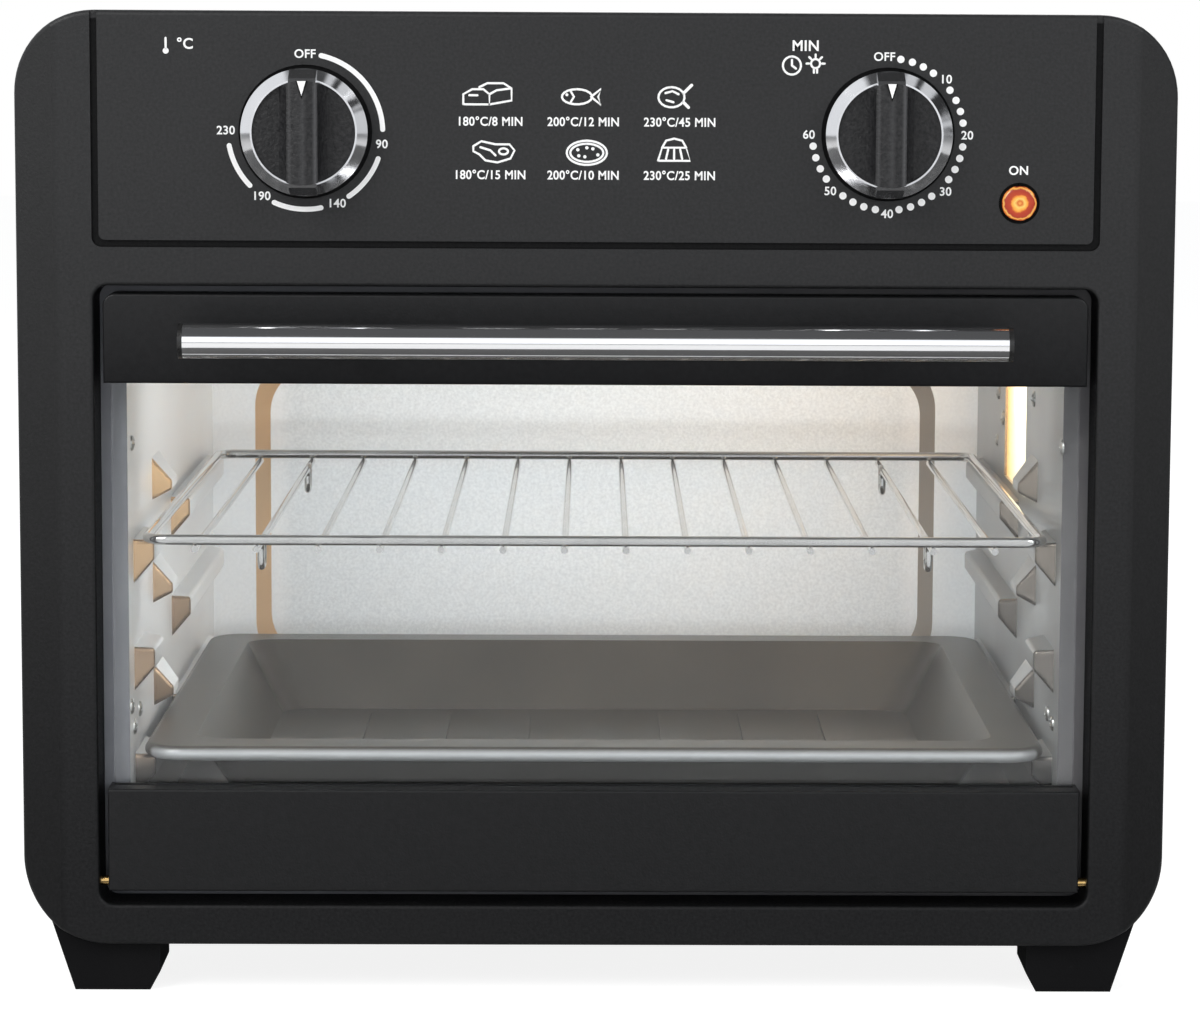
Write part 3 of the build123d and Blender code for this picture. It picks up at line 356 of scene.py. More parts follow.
def ribbon(points, width):
    """Flat stroke along a line: each point moves to both sides by half the width.

    Near the round ends it moves by less, as sqrt(r^2 - (r - distance to the end)^2).
    """
    line = np.asarray(points, float)
    steps = np.linalg.norm(np.diff(line, axis=0), axis=1)
    along = np.concatenate(([0], np.cumsum(steps)))
    radius = width / 2
    extra = radius * (1 - np.cos(np.linspace(0, np.pi / 2, 5)))
    total = along[-1] + 2 * radius
    where = np.unique(np.concatenate((extra, along + radius, total - extra)))
    middle = np.stack([np.interp(where - radius, along, line[:, i]) for i in (0, 1)], 1)
    before = np.clip(radius - where, 0, None)[:, None]
    after = np.clip(where - total + radius, 0, None)[:, None]
    start, end = line[0] - line[1], line[-1] - line[-2]
    middle = middle + before * start / np.linalg.norm(start) + after * end / np.linalg.norm(end)
    tangent = np.gradient(middle, axis=0)
    tangent /= np.linalg.norm(tangent, axis=1)[:, None]
    reach = np.clip(np.minimum(where, total - where), 0, radius)
    half = np.sqrt(np.clip(radius**2 - (radius - reach) ** 2, (0.02 * radius) ** 2, None))[:, None]
    side = np.stack([-tangent[:, 1], tangent[:, 0]], 1) * half
    points = np.concatenate((middle + side, middle - side))
    count = len(where)
    low = np.arange(count - 1)
    return points, np.stack([low, low + count, low + count + 1, low + 1], 1).tolist()


def dot(centre, radius, count=20):
    """Filled circle: a ring of points round the centre, as one face."""
    angle = np.linspace(0, 2 * np.pi, count, endpoint=False)
    return np.asarray(centre) + radius * np.stack([np.cos(angle), np.sin(angle)], 1), [list(range(count))]


def lettering(words, place, height, stretch=1.0):
    """Word as flat faces, centred on a place, its capitals as high as asked. The offset makes it bolder."""
    curve = bpy.data.curves.new("words", "FONT")
    curve.body = words
    curve.align_x = "CENTER"
    curve.size = 1
    curve.offset = 0.02
    curve.space_character = 1.06
    letters = bpy.data.objects.new("words", curve)
    bpy.context.scene.collection.objects.link(letters)
    bpy.context.view_layer.update()
    mesh = bpy.data.meshes.new_from_object(letters.evaluated_get(bpy.context.evaluated_depsgraph_get()))
    points = np.zeros(len(mesh.vertices) * 3)
    mesh.vertices.foreach_get("co", points)
    faces = [list(face.vertices) for face in mesh.polygons]
    bpy.data.objects.remove(letters)
    capital_share = 0.72
    flat = points.reshape(-1, 3)[:, :2] * height / capital_share * (stretch, 1)
    return flat + np.asarray(place) - (0, height / 2), faces


def arc(centre, radius, start, end, count=24):
    """Points of a circle's arc, the angles in degrees clockwise from the top."""
    angle = np.radians(np.linspace(start, end, count))
    return np.asarray(centre) + radius * np.stack([np.sin(angle), np.cos(angle)], 1)


def printing(name, marks, body, finish, depth, thickness=ink_height):
    """All marks of one group as one thin plate that faces the front at a depth."""
    points, faces, start = [], [], 0
    for flat, polygons in marks:
        points.append(flat)
        faces += [[index + start for index in polygon] for polygon in polygons]
        start += len(flat)
    flat = np.concatenate(points)
    place = np.stack([flat[:, 0], np.full(len(flat), depth), flat[:, 1]], 1)
    mesh = bpy.data.meshes.new(name)
    mesh.from_pydata(place.tolist(), [], faces)
    mesh.materials.append(finish)
    piece = bpy.data.objects.new(name, mesh)
    bpy.context.scene.collection.objects.link(piece)
    wall = piece.modifiers.new("layer", "SOLIDIFY")
    wall.thickness = 2 * thickness
    wall.offset = 0
    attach(piece, body)
    return piece


def middle_of(node):
    """Centre of a CAD node's box, across and up."""
    low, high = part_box(node)
    return np.array([(low.x + high.x) / 2, (low.z + high.z) / 2])


left_dial = middle_of("temperature_knob_ring")
right_dial = middle_of("timer_knob_ring")
# One picture point on the panel's face, in metres, and the heights of the three letter sizes.
pixel = 0.001 / 2.945
numeral, sign_height, word_height = 0.00288, 0.0036, 0.003

# The temperature scale: four arcs between its words.
arc_radius, arc_width = 77 * pixel, 5 * pixel
degrees = (("OFF", 0, 77.5), ("90", 76, -11.5), ("140", 31, -70.5), ("190", -44, -63.5), ("230", -79, 1.5))
marks = []
for start, end in ((12, 88), (110, 146), (168.5, 204), (226, 259.5)):
    marks.append(ribbon(arc(left_dial, arc_radius, start, end), arc_width))
for words, across, up in degrees:
    marks.append(lettering(words, left_dial + np.array((across, up)) * pixel, numeral))
printing("temperature_scale", marks, "cabinet", ink, face_y)

# The timer scale: a dot at each step of nine degrees, but none where a number stands.
dot_step, number_step, scale_end, dot_circle, dot_radius = 9, 45, 270, 75.5 * pixel, 3.7 * pixel
minutes = (
    ("OFF", -4.5, 77.5), ("10", 57, 55.5), ("20", 79, 0), ("30", 58, -56),
    ("40", 0, -78.5), ("50", -57, -56), ("60", -79, 0),
)
marks = []
for angle in range(0, scale_end, dot_step):
    if angle % number_step:
        marks.append(dot(arc(right_dial, dot_circle, angle, angle, 1)[0], dot_radius))
for words, across, up in minutes:
    marks.append(lettering(words, right_dial + np.array((across, up)) * pixel, numeral))
printing("timer_scale", marks, "cabinet", ink, face_y)


def loop(centre, width, height, count=20):
    """Points of a closed ellipse."""
    angle = np.linspace(0, 2 * np.pi, count)
    return np.asarray(centre) + np.stack([np.sin(angle) * width / 2, np.cos(angle) * height / 2], 1)


# The signs over the dials: a thermometer, a clock and a lamp, with their units.
line = 2.15 * pixel
heading = left_dial + np.array((-107, 88)) * pixel
gauge = left_dial + np.array((-138, 86)) * pixel
marks = [
    lettering("°C", heading + np.array((-12, -1)) * pixel, sign_height),
    ribbon([gauge + np.array((0, 6)) * pixel, gauge + np.array((0, -4)) * pixel], 2.2 * pixel),
    dot(gauge + np.array((0, -6.5)) * pixel, 3 * pixel),
]
clock = right_dial + np.array((-96.5, 68)) * pixel
bulb = right_dial + np.array((-73, 70)) * pixel
marks += [
    lettering("MIN", right_dial + np.array((-83, 88)) * pixel, sign_height),
    ribbon(loop(clock, 18 * pixel, 18 * pixel), line),
    ribbon([clock, clock + np.array((0, 5.5)) * pixel], line),
    ribbon([clock, clock + np.array((4, -3)) * pixel], line),
    ribbon(loop(bulb, 9 * pixel, 9 * pixel), line),
    ribbon([bulb + np.array((-1.6, -5.5)) * pixel, bulb + np.array((-1.6, -9)) * pixel], line),
    ribbon([bulb + np.array((1.6, -5.5)) * pixel, bulb + np.array((1.6, -9)) * pixel], line),
]
for angle in (-90, -45, 0, 45, 90):
    ray = arc((0, 0), 1, angle, angle, 1)[0]
    marks.append(ribbon([bulb + 6.5 * pixel * ray, bulb + 9 * pixel * ray], line))
lamp_middle = middle_of("power_lamp_lens")
marks.append(lettering("ON", lamp_middle + np.array((-1, 33)) * pixel, word_height))
printing("panel_symbols", marks, "cabinet", ink, face_y)

# The heating guide: six plain pictures of food, each over its temperature and time.
# The pictures are plain outlines drawn for this part.
middle = (left_dial + right_dial) / 2 + (1.5 * pixel, 0)


def spot(across, up):
    """Place on the panel, in picture points from the middle between the dials."""
    return middle + np.array((across, up)) * pixel


def outline(where, corners, width=line):
    """Stroke through corners given from a place."""
    return ribbon([where + np.array(corner) * pixel for corner in corners], width)


marks = []
narrow = 0.93
guide = (
    ((-110.5, 37), (-108, 11.5), "180°C/8 MIN"),
    ((-17.5, 36), (-15, 11.5), "200°C/12 MIN"),
    ((75.5, 36), (81, 11.5), "230°C/45 MIN"),
    ((-104.5, -19.5), (-108, -41.5), "180°C/15 MIN"),
    ((-11.5, -19.5), (-15, -41.5), "200°C/10 MIN"),
    ((75.5, -18), (81, -41.5), "230°C/25 MIN"),
)
for _, below, words in guide:
    marks.append(lettering(words, spot(*below), word_height, narrow))
loaf = spot(*guide[0][0])
marks += [
    outline(loaf, [(-24, -9), (-24, 1), (-15, 6), (-4, 6), (2, 1), (2, -9), (-24, -9)]),
    outline(loaf, [(-8, 8), (0, 12), (16, 12), (24, 7), (24, -5), (2, -9)]),
    outline(loaf, [(2, 1), (9, 5), (24, 7)]),
    outline(loaf, [(-18, 0), (-10, 0)]),
]
fish = spot(*guide[1][0])
marks += [
    ribbon(loop(fish + np.array((-4, 0)) * pixel, 30 * pixel, 15 * pixel), line),
    outline(fish, [(10, 0), (20, 8), (17, 0), (20, -8), (10, 0)]),
    outline(fish, [(-10, 5), (-7, 0), (-10, -5)]),
    dot(fish + np.array((-14, 2)) * pixel, 1.5 * pixel),
]
roast = spot(*guide[2][0])
marks += [
    ribbon(loop(roast + np.array((-3, 0)) * pixel, 26 * pixel, 20 * pixel), line),
    outline(roast, [(9, 4), (15, 10), (17, 12)], 3 * pixel),
    outline(roast, [(9, -5), (14, -10)], 3 * pixel),
    outline(roast, [(-9, 4), (-2, 6), (4, 3)]),
    outline(roast, [(-8, -3), (-1, -5)]),
]
steak = spot(*guide[3][0])
marks += [
    outline(
        steak,
        [
            (-20, 6), (-12, 11), (2, 8), (16, 8), (21, 2), (17, -6),
            (4, -10), (-8, -8), (-14, -2), (-20, 1), (-20, 6),
        ],
    ),
    ribbon(loop(steak + np.array((10, 1)) * pixel, 9 * pixel, 6 * pixel), line),
    outline(steak, [(-13, 5), (-3, 2), (2, -3)]),
]
pizza = spot(*guide[4][0])
for width, height in ((40, 24), (33, 18)):
    marks.append(ribbon(loop(pizza, width * pixel, height * pixel, 28), line))
for across, up in ((-9, 3), (-2, -4), (6, 4), (11, -2), (0, 5), (-8, -3)):
    marks.append(dot(pizza + np.array((across, up)) * pixel, 1.7 * pixel))
cake = spot(*guide[5][0])
marks += [
    outline(cake, [(-16, -9), (-12, 4), (12, 4), (16, -9), (-16, -9)]),
    outline(cake, [(-12, 4), (-8, 11), (0, 13), (8, 11), (12, 4)]),
    outline(cake, [(-6, 2), (-8, -7)]),
    outline(cake, [(0, 2), (0, -7)]),
    outline(cake, [(6, 2), (8, -7)]),
]
printing("heating_guide", marks, "cabinet", ink, face_y)

# The case: a bent steel cover, a base and a back, all powder coated in matt black,
# with moulded feet and a rubber gland where the mains lead would leave.
case_black = surface(
    "case_black", (0.016, 0.0165, 0.018), (0.022, 0.0225, 0.024), 18, (0.5, 0.62), 0, 1100, 0.3
)
dress(case_black, "outer_wrapper", "base_plate", "back_panel")
foot_black = surface(
    "foot_black", (0.003, 0.003, 0.0035), (0.005, 0.005, 0.0055), 25, (0.45, 0.55), 0, 1300, 0.2, specular=0.1
)
dress(foot_black, "front_left_foot", "front_right_foot", "rear_left_foot", "rear_right_foot")
gland_rubber = surface(
    "gland_rubber", (0.008, 0.008, 0.008), (0.014, 0.014, 0.014), 80, (0.6, 0.75), 0, 700, 0.2
)
dress(gland_rubber, "cord_gland")
zinc = surface("zinc_plate", (0.5, 0.5, 0.49), (0.64, 0.64, 0.62), 60, (0.25, 0.38), 1, 800, 0.08)
dress(zinc, "case_screws")

# The cavity: folded from bright steel sheet, with a drawn panel in its back wall, rack
# guides pressed into its sides, and a flat grey steel flange round its mouth.
cavity_bright = surface(
    "cavity_bright", (0.74, 0.77, 0.79), (0.9, 0.93, 0.945), 900, (0.34, 0.44), 0.2, 1400, 0.05
)
# The border round the drawn panel is paler. Of the panel's two slopes, the one that faces
# the lamp has painted warm light and the other painted shade.
border_start, border_end, slope_start, slope_end = 0.128, 0.134, 0.2, 0.45
for side in (1, -1):
    border = band(cavity_bright, "X", side * border_start, side * border_end)
    tint(cavity_bright, border, (0.5, 0.5, 0.5), "SCREEN")
# Painted light on the slope that faces the lamp, painted shade on the other.
for side, painted_slope_tone in ((1, (0.66, 0.44, 0.25)), (-1, (0.3, 0.26, 0.22))):
    slope = band(cavity_bright, "X", side * slope_start, side * slope_end, "Normal")
    tint(cavity_bright, slope, painted_slope_tone)
dress(cavity_bright, "cavity_back_wall")
ceiling_bright = surface(
    "ceiling_bright", (0.7, 0.72, 0.73), (0.82, 0.84, 0.85), 900, (0.34, 0.44), 0.3, 1400, 0.06
)
dress(ceiling_bright, "cavity_ceiling")
# Painted shade: the cavity floor is dark for the shade it lies in under the pan.
floor_painted_shade = surface(
    "floor_painted_shade", (0.13, 0.132, 0.135), (0.17, 0.172, 0.176), 40, (0.3, 0.4), 0.3, 900, 0.03
)
dress(floor_painted_shade, "cavity_floor")
# The right wall's steel is a darker copy of the left wall's, as painted shade. Each side wall has
# painted shade at its foot, and its guides a bright, warm painted reflection where they face
# the door, the upper ones more than the lower ones.
wall_foot_shade, low_guide, high_guide, door_facing = (0.075, 0.05), (0.06, 0.08), (0.12, 0.17), (-0.3, -0.6)
# The right wall's darker tone is painted shade.
for name, painted_lightness, low_painted_glint, high_painted_glint in (
    ("cavity_left_wall", 0.88, (0.42, 0.29, 0.19), (0.95, 0.62, 0.33)),
    ("cavity_right_wall", 0.33, (0.2, 0.18, 0.16), (0.36, 0.31, 0.26)),
):
    light = (painted_lightness + 0.04, painted_lightness + 0.05, painted_lightness + 0.045)
    wall = surface(name + "_steel", (painted_lightness,) * 3, light, 30, (0.34, 0.38), 0.35, 900, 0)
    # Painted shade at the wall's foot.
    tint(wall, band(wall, "Z", *wall_foot_shade), (0.6, 0.6, 0.6), "MULTIPLY")
    glint_faces = band(wall, "Y", *door_facing, "Normal")
    vary(wall, "Metallic", glint_faces, 0.35, 0.9)
    vary(wall, "Roughness", glint_faces, 0.36, 0.24)
    # Painted warm reflection on the guides where they face the door.
    tint(wall, overlap(wall, glint_faces, band(wall, "Z", *low_guide)), low_painted_glint)
    tint(wall, overlap(wall, glint_faces, band(wall, "Z", *high_guide)), high_painted_glint)
    dress(wall, name)
mouth_grey = surface(
    "mouth_grey", (0.19, 0.195, 0.22), (0.24, 0.245, 0.265), 40, (0.35, 0.45), 0.2, 900, 0.02
)
# Painted shade: the flange darkens towards its right side.
mouth_shade_reach = 0.1
tint(mouth_grey, band(mouth_grey, "X", -mouth_shade_reach, mouth_shade_reach), (0.6, 0.57, 0.54), "MULTIPLY")
dress(mouth_grey, "cavity_mouth_frame")

# The heaters: two pairs of sheathed rods, over and under the food. Heat has darkened them,
# and white ceramic bushes carry them through the side walls.
rod_steel = surface("rod_steel", (0.16, 0.15, 0.14), (0.27, 0.25, 0.23), 90, (0.35, 0.5), 0.9, 600, 0.15)
dress(rod_steel, "upper_heater_rods", "lower_heater_rods")
bush_ceramic = surface(
    "bush_ceramic", (0.74, 0.72, 0.68), (0.82, 0.8, 0.76), 200, (0.5, 0.65), 0, 900, 0.1
)
dress(bush_ceramic, "heater_insulators")

# The air mover: pressed fan wheels, a shaded-pole motor with stacked laminations and
# a varnished copper winding, and the tray that keeps the heat from it.
dress(zinc, "fan_guard", "hot_air_fan", "heat_shield", "motor_bracket", "cooling_fan", "oven_lamp_holder")
turned_steel = surface("turned_steel", (0.5, 0.5, 0.51), (0.62, 0.62, 0.63), 300, (0.2, 0.3), 1, 1200, 0.08)
dress(turned_steel, "fan_shaft", "temperature_shaft", "timer_shaft", "motor_rotor", "timer_bell")
sheet_stack = (1, 1, 60)
laminations = surface(
    "laminations", (0.2, 0.2, 0.21), (0.42, 0.42, 0.44), 3, (0.35, 0.5), 0.9, 40, 0.4, sheet_stack
)
dress(laminations, "motor_core")
winding_copper = surface(
    "winding_copper", (0.36, 0.12, 0.04), (0.62, 0.26, 0.1), 3, (0.25, 0.4), 0.8, 30, 0.6, sheet_stack
)
dress(winding_copper, "motor_coil")

# The controls behind the panel: the pale moulded bodies of the thermostat, the timer and
# the power lamp, each let into the panel from behind.
switch_ivory = surface("switch_ivory", (0.6, 0.55, 0.44), (0.68, 0.64, 0.53), 60, (0.4, 0.5), 0, 900, 0.1)
dress(switch_ivory, "thermostat_body", "timer_body", "power_lamp_body")

# The knobs: black mouldings with a fine spark-eroded face and painted highlights down the
# grip, each in a chromed ring, and a white pointer with a dark edge printed at the upper end of the grip.
grip_half, lug_radius, lug_edge = 0.0085, 0.0176, 0.0002
# Painted highlights down the grip: where they lie across it and how pale they are.
highlight_back, highlight_front = 0.005, 0.002
grip_highlights = (
    (0.2, 0), (0.25, 0.45), (0.3, 0), (0.42, 0.05), (0.52, 0.35),
    (0.6, 0), (0.7, 0.05), (0.76, 0.9), (0.81, 0),
)


def off_axis(made, middle):
    """Distance from an axis that runs from front to back through a middle."""
    nodes, links = made.node_tree.nodes, made.node_tree.links
    place = nodes.new("ShaderNodeTexCoord")
    flat = nodes.new("ShaderNodeVectorMath")
    flat.operation = "MULTIPLY"
    flat.inputs[1].default_value = (1, 0, 1)
    links.new(place.outputs["Object"], flat.inputs[0])
    away = nodes.new("ShaderNodeVectorMath")
    away.operation = "DISTANCE"
    away.inputs[1].default_value = (middle[0], 0, middle[1])
    links.new(flat.outputs[0], away.inputs[0])
    return away.outputs["Value"]


def knob_finish(name, middle, front):
    """Black moulding: painted highlights run down the grip as pale streaks, and the two lugs in the ring are
    chromed.
    """
    made = surface(
        name, (0.002, 0.002, 0.003), (0.021, 0.021, 0.022), 800, (0.36, 0.6), 0, 1000, 1.0, specular=0.36
    )
    tree = made.node_tree
    highlight_ramp = tree.nodes.new("ShaderNodeValToRGB")
    ramp = highlight_ramp.color_ramp
    ramp.elements[0].position, ramp.elements[1].position = 0, 1
    ramp.elements[0].color = ramp.elements[1].color = (0, 0, 0, 1)
    for position, tone in grip_highlights:
        ramp.elements.new(position).color = (tone, tone, tone, 1)
    tree.links.new(band(made, "X", middle[0] - grip_half, middle[0] + grip_half), highlight_ramp.inputs["Fac"])
    outer_face = band(made, "Y", front + highlight_back, front + highlight_front)
    grip_highlight = overlap(made, highlight_ramp.outputs[0], outer_face)
    tint(made, grip_highlight, (0.075, 0.075, 0.078))
    lug = climb(tree, off_axis(made, middle), lug_radius, lug_radius + lug_edge)
    tint(made, lug, (0.9, 0.9, 0.91))
    vary(made, "Metallic", lug, 0, 1)
    return made


for name in ("temperature_knob", "timer_knob"):
    dress(knob_finish(name + "_black", middle_of(name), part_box(name)[0].y), name)
knob_chrome = surface("knob_chrome", (0.62, 0.62, 0.63), (0.7, 0.7, 0.71), 40, (0.08, 0.14), 1, 500, 0.03)
dress(knob_chrome, "temperature_knob_ring", "timer_knob_ring")
black_ink_and_shadow = surface(
    "black_ink_and_shadow", (0.001,) * 3, (0.003,) * 3, 300, (0.3, 0.4), 0, 900, 0.05, specular=0.05
)
pointer_up, pointer_half, pointer_drop, pointer_thick = 17.3e-3, 1.45e-3, 4.9e-3, 0.34e-3
edge_half, edge_rise, edge_drop, edge_thick, pointer_lift = 1.95e-3, 0.1e-3, 5.9e-3, 0.3e-3, 0.02e-3
white_part = np.array([(-pointer_half, 0), (pointer_half, 0), (0, -pointer_drop)])
edge_part = np.array([(-edge_half, edge_rise), (edge_half, edge_rise), (0, -edge_drop)])
for name in ("temperature", "timer"):
    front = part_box(name + "_knob")[0].y
    tip = middle_of(name + "_knob") + np.array((0, pointer_up))
    body = name + "_control"
    edge_mark, white_mark = [(tip + edge_part, [[0, 1, 2]])], [(tip + white_part, [[0, 1, 2]])]
    printing(name + "_pointer_edge", edge_mark, body, black_ink_and_shadow, front, edge_thick)
    printing(name + "_pointer", white_mark, body, ink, front - pointer_lift, pointer_thick)

# The power lamp: a lit amber lens, moulded in rings that show as brighter and darker bands,
# and let into the panel. A dark line round it is a painted shadow of the gap.
lens_radius, lens_ring, gap_shadow_width = 0.0062, 0.0127, 0.0012
amber = (
    (0, (1, 0.5, 0.1)), (0.14, (0.7, 0.16, 0.02)), (0.27, (1, 0.68, 0.16)),
    (0.42, (1, 0.42, 0.05)), (0.52, (0.5, 0.05, 0.008)), (0.78, (0.36, 0.025, 0.006)),
    (0.86, (1, 0.55, 0.12)), (0.92, (0.6, 0.14, 0.03)), (0.97, (0.03, 0.004, 0.004)),
)


def lit(name, middle, colours, strength, radius, base):
    """Glowing lens: the colour follows the distance from the lamp's axis, bent a little by noise."""
    made = bpy.data.materials.new(name)
    made.use_nodes = True
    tree = made.node_tree
    shader = tree.nodes["Principled BSDF"]
    shader.inputs["Roughness"].default_value = 0.15
    tones = tree.nodes.new("ShaderNodeValToRGB")
    ramp = tones.color_ramp
    ramp.elements[0].position, ramp.elements[0].color = colours[0][0], (*colours[0][1], 1)
    ramp.elements[1].position, ramp.elements[1].color = colours[-1][0], (*colours[-1][1], 1)
    for position, colour in colours[1:-1]:
        ramp.elements.new(position).color = (*colour, 1)
    place = tree.nodes.new("ShaderNodeTexCoord")
    swirl = cloud(tree, place.outputs["Object"], 420)
    bend = 0.14
    share = climb(tree, off_axis(made, middle), 0, radius)
    bent = joined(tree, "ADD", share, climb(tree, swirl, 0, 1, -bend, bend))
    tree.links.new(bent, tones.inputs["Fac"])
    shader.inputs["Base Color"].default_value = (*base, 1)
    tree.links.new(tones.outputs["Color"], shader.inputs["Emission Color"])
    shader.inputs["Emission Strength"].default_value = strength
    return made


dress(lit("amber_lens", lamp_middle, amber, 0.95, lens_radius, (0.06, 0.008, 0.004)), "power_lamp_lens")
# Painted shadow of the gap round the lens.
gap_shadow_mark = ribbon(loop(lamp_middle, lens_ring, lens_ring, 48), gap_shadow_width)
printing("power_lamp_gap_shadow", [gap_shadow_mark], "cabinet", black_ink_and_shadow, face_y)

# The oven lamp: a lit tubular bulb behind a flat pane in the right wall. It throws a warm
# light across the cavity, and a wide cool light comes in through the mouth. The pane has a
# painted warm glow, more orange deeper in.
bulb_middle = middle_of("oven_lamp_bulb")
warm = ((0, (1, 0.82, 0.5)), (1, (1, 0.74, 0.36)))
dress(lit("bulb_glow", bulb_middle, warm, 3, 0.012, (0.8, 0.7, 0.5)), "oven_lamp_bulb")


def pane(name, colour, rough, strength=0.0):
    """Clear glass that lets the lamps' light through to what lies behind it, with a painted warm glow of the
    given strength.
    """
    made = bpy.data.materials.new(name)
    made.use_nodes = True
    nodes, links = made.node_tree.nodes, made.node_tree.links
    shader = nodes["Principled BSDF"]
    shader.inputs["Base Color"].default_value = (*colour, 1)
    shader.inputs["Transmission Weight"].default_value = 1
    shader.inputs["IOR"].default_value = 1.45
    shader.inputs["Emission Color"].default_value = (1, 0.86, 0.55, 1)
    shader.inputs["Emission Strength"].default_value = strength
    place = nodes.new("ShaderNodeTexCoord")
    smears = cloud(made.node_tree, place.outputs["Object"], 12)
    vary(made, "Roughness", smears, *rough)
    rays = nodes.new("ShaderNodeLightPath")
    clear = nodes.new("ShaderNodeBsdfTransparent")
    clear.inputs["Color"].default_value = (*colour, 1)
    blend = nodes.new("ShaderNodeMixShader")
    links.new(rays.outputs["Is Shadow Ray"], blend.inputs["Fac"])
    links.new(shader.outputs[0], blend.inputs[1])
    links.new(clear.outputs[0], blend.inputs[2])
    links.new(blend.outputs[0], nodes["Material Output"].inputs["Surface"])
    return made


# Painted glow: the lamp's pane emits a warm light, more orange deeper in.
lamp_pane = pane("lamp_pane", (1, 0.93, 0.76), (0.15, 0.3), 0.55)
lamp_low, lamp_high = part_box("oven_lamp_glass")
lamp_tree = lamp_pane.node_tree
pane_glow_tone = lamp_tree.nodes.new("ShaderNodeMix")
pane_glow_tone.data_type = "RGBA"
pane_glow_tone.inputs["A"].default_value = (1, 0.9, 0.66, 1)
pane_glow_tone.inputs["B"].default_value = (1, 0.5, 0.13, 1)
glow_depth = 0.035
deeper_glow = band(lamp_pane, "Y", lamp_high.y - glow_depth, lamp_high.y)
lamp_tree.links.new(deeper_glow, pane_glow_tone.inputs["Factor"])
lamp_tree.links.new(pane_glow_tone.outputs["Result"], lamp_tree.nodes["Principled BSDF"].inputs["Emission Color"])
dress(lamp_pane, "oven_lamp_glass")
wall_reach, lamp_lean, mouth_gap, mouth_height = 0.16, 0.1, 0.004, 0.15
lamp_y, lamp_z = (lamp_low.y + lamp_high.y) / 2, (lamp_low.z + lamp_high.z) / 2
lamp_place, lamp_target = (wall_reach, lamp_y, lamp_z), (-wall_reach, lamp_y + lamp_lean, lamp_z)
lamp("oven_lamp", lamp_place, lamp_target, (0.06, 0.04), 0.16, (1, 0.6, 0.27), False)
mouth_place = (0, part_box("cavity_mouth_frame")[1].y + mouth_gap, mouth_height)
lamp("inner_fill", mouth_place, (0, 0.2, 0.16), (0.25, 0.12), 0.5, (0.96, 0.985, 1), False, 142)

# The door: a clear glass pane held between two moulded black rails. It is hinged low on two
# brass pins and drops down to the front.
rail_tones = (0.006, 0.0062, 0.0068), (0.009, 0.0092, 0.01)
door_black = surface("door_black", *rail_tones, 500, (0.38, 0.48), 0, 1200, 0.2, specular=0.3)
dress(door_black, "door_lower_rail")
rail_black = surface("rail_black", *rail_tones, 500, (0.38, 0.48), 0, 1200, 0.2)
rail_low, rail_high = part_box("door_upper_rail")
vary(rail_black, "Specular IOR Level", band(rail_black, "Z", rail_high.z, rail_low.z), 0.28, 0.12)
dress(rail_black, "door_upper_rail")
dress(pane("door_pane", (0.93, 0.945, 0.95), (0.0, 0.02)), "door_glass")
pin_brass = surface("pin_brass", (0.62, 0.4, 0.14), (0.8, 0.55, 0.24), 400, (0.15, 0.3), 1, 900, 0.1)
dress(pin_brass, "hinge_pins")

# The handle: a chromed tube with a long drawn sheen, closed by black plugs. Two black posts
# hold it off the upper rail, and screws from inside fix them.
drawn_tube = (0.05, 1, 1)
handle_chrome = surface(
    "handle_chrome", (0.86, 0.86, 0.87), (0.92, 0.92, 0.93), 30, (0.07, 0.12), 1, 300, 0.03, drawn_tube
)
dress(handle_chrome, "handle_bar")
cap_black = surface("cap_black", (0.01, 0.01, 0.01), (0.016, 0.016, 0.016), 80, (0.25, 0.35), 0, 900, 0.08)
dress(cap_black, "handle_end_caps", "handle_posts")
dress(zinc, "handle_screws")

# The rack: chromed steel wire. The cross wires are spot welded under one bent loop, two of
# them dip twice, and the whole slides out of the pressed guides.
rack_chrome = surface(
    "rack_chrome", (0.58, 0.575, 0.565), (0.68, 0.675, 0.665), 60, (0.07, 0.12), 1, 400, 0.02
)
dress(rack_chrome, "rack_frame", "rack_wires")

# The pan: one steel sheet pressed to shape, in grey non-stick enamel, with a painted
# highlight along its rolled front rim.
pan_grey = surface("pan_grey", (0.042, 0.035, 0.027), (0.064, 0.054, 0.042), 22, (0.33, 0.41), 0.35, 1300, 0)
pan_front, pan_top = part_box("baking_pan")[0].y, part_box("baking_pan")[1].z
rim_back, rim_front, rim_top, rim_foot = 0.0062, 0.0045, 0.0004, 0.0022
# Painted highlight along the rolled front rim.
rim_highlight = overlap(
    pan_grey,
    band(pan_grey, "Y", pan_front + rim_back, pan_front + rim_front),
    band(pan_grey, "Z", pan_top - rim_top, pan_top - rim_foot),
)
tint(pan_grey, rim_highlight, (0.5, 0.51, 0.52))
dress(pan_grey, "baking_pan")

# The screws of the side walls: plated pan heads with a cross recess. They hold the lamp,
# the guides and the mouth flange, and stand about a millimetre off the walls.
wall_face, head_height = 0.1615, 0.0012
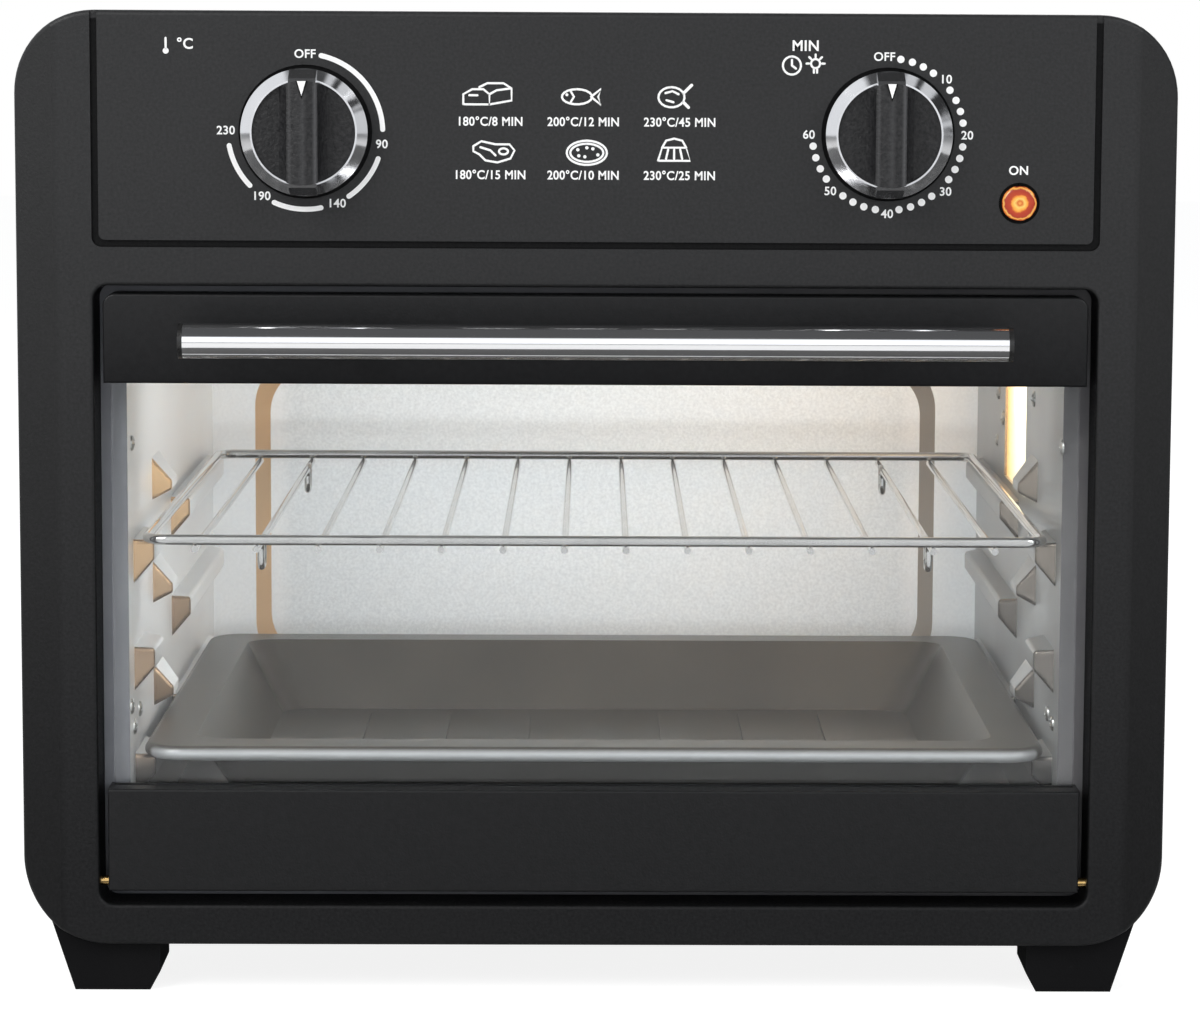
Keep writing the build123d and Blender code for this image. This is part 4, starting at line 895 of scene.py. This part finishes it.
# Side, then depth behind the frame's face, height and head radius in millimetres.
screws = (
    (1, 241, 187.7, 2.6), (1, 222, 179.6, 3.1), (1, 244.6, 168.5, 2.6), (1, 110.6, 197.6, 3.1),
    (1, 17.9, 189.6, 2.8), (1, 49.7, 90.8, 2.9), (1, 33.6, 90, 2.7),
    (-1, 30.3, 188.4, 2.8), (-1, 22.4, 97, 2.8), (-1, 31, 88.4, 2.8), (-1, 47, 92, 2.9),
)


def screw_head(side, middle, radius, height):
    """Dome over polar rings: height * sqrt(1 - (r/R)^2), less a cross-shaped recess inside 0.62 R."""
    rings, turns, askew = 14, 48, 0.4
    arm_half, recess_reach, recess_depth, sunk_rim = 0.17, 0.62, 0.55, 0.0002
    share = np.linspace(0, 1, rings)[:, None]
    angle = np.linspace(0, 2 * np.pi, turns, endpoint=False)[None, :] + askew
    across, up = share * np.cos(angle), share * np.sin(angle)
    rise = height * np.sqrt(np.clip(1 - share**2, 0, 1)) + 0 * angle
    one_arm = abs(across * np.cos(askew) + up * np.sin(askew))
    other_arm = abs(up * np.cos(askew) - across * np.sin(askew))
    cut = (np.minimum(one_arm, other_arm) < arm_half) & (share < recess_reach)
    rise = rise - recess_depth * height * cut
    rise[-1] = -sunk_rim
    return np.stack([middle[0] - side * rise, middle[1] + radius * across, middle[2] + radius * up], 2)


vertices, faces = [], []
for side, deep, up, radius in screws:
    middle = (side * wall_face, face_y + deep / 1000, up / 1000)
    points = screw_head(side, middle, radius / 1000, head_height)
    start = len(vertices)
    rings, turns = points.shape[:2]
    vertices += points.reshape(-1, 3).tolist()
    for ring in range(rings - 1):
        inner, outer = start + ring * turns, start + (ring + 1) * turns
        for here in range(turns):
            after = (here + 1) % turns
            face = [inner + here, outer + here, outer + after, inner + after]
            faces.append(face if side < 0 else face[::-1])
screw_mesh = bpy.data.meshes.new("wall_screws")
screw_mesh.from_pydata(vertices, [], faces)
screw_mesh.materials.append(zinc)
wall_screws = bpy.data.objects.new("wall_screws", screw_mesh)
bpy.context.scene.collection.objects.link(wall_screws)
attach(wall_screws, "cabinet")
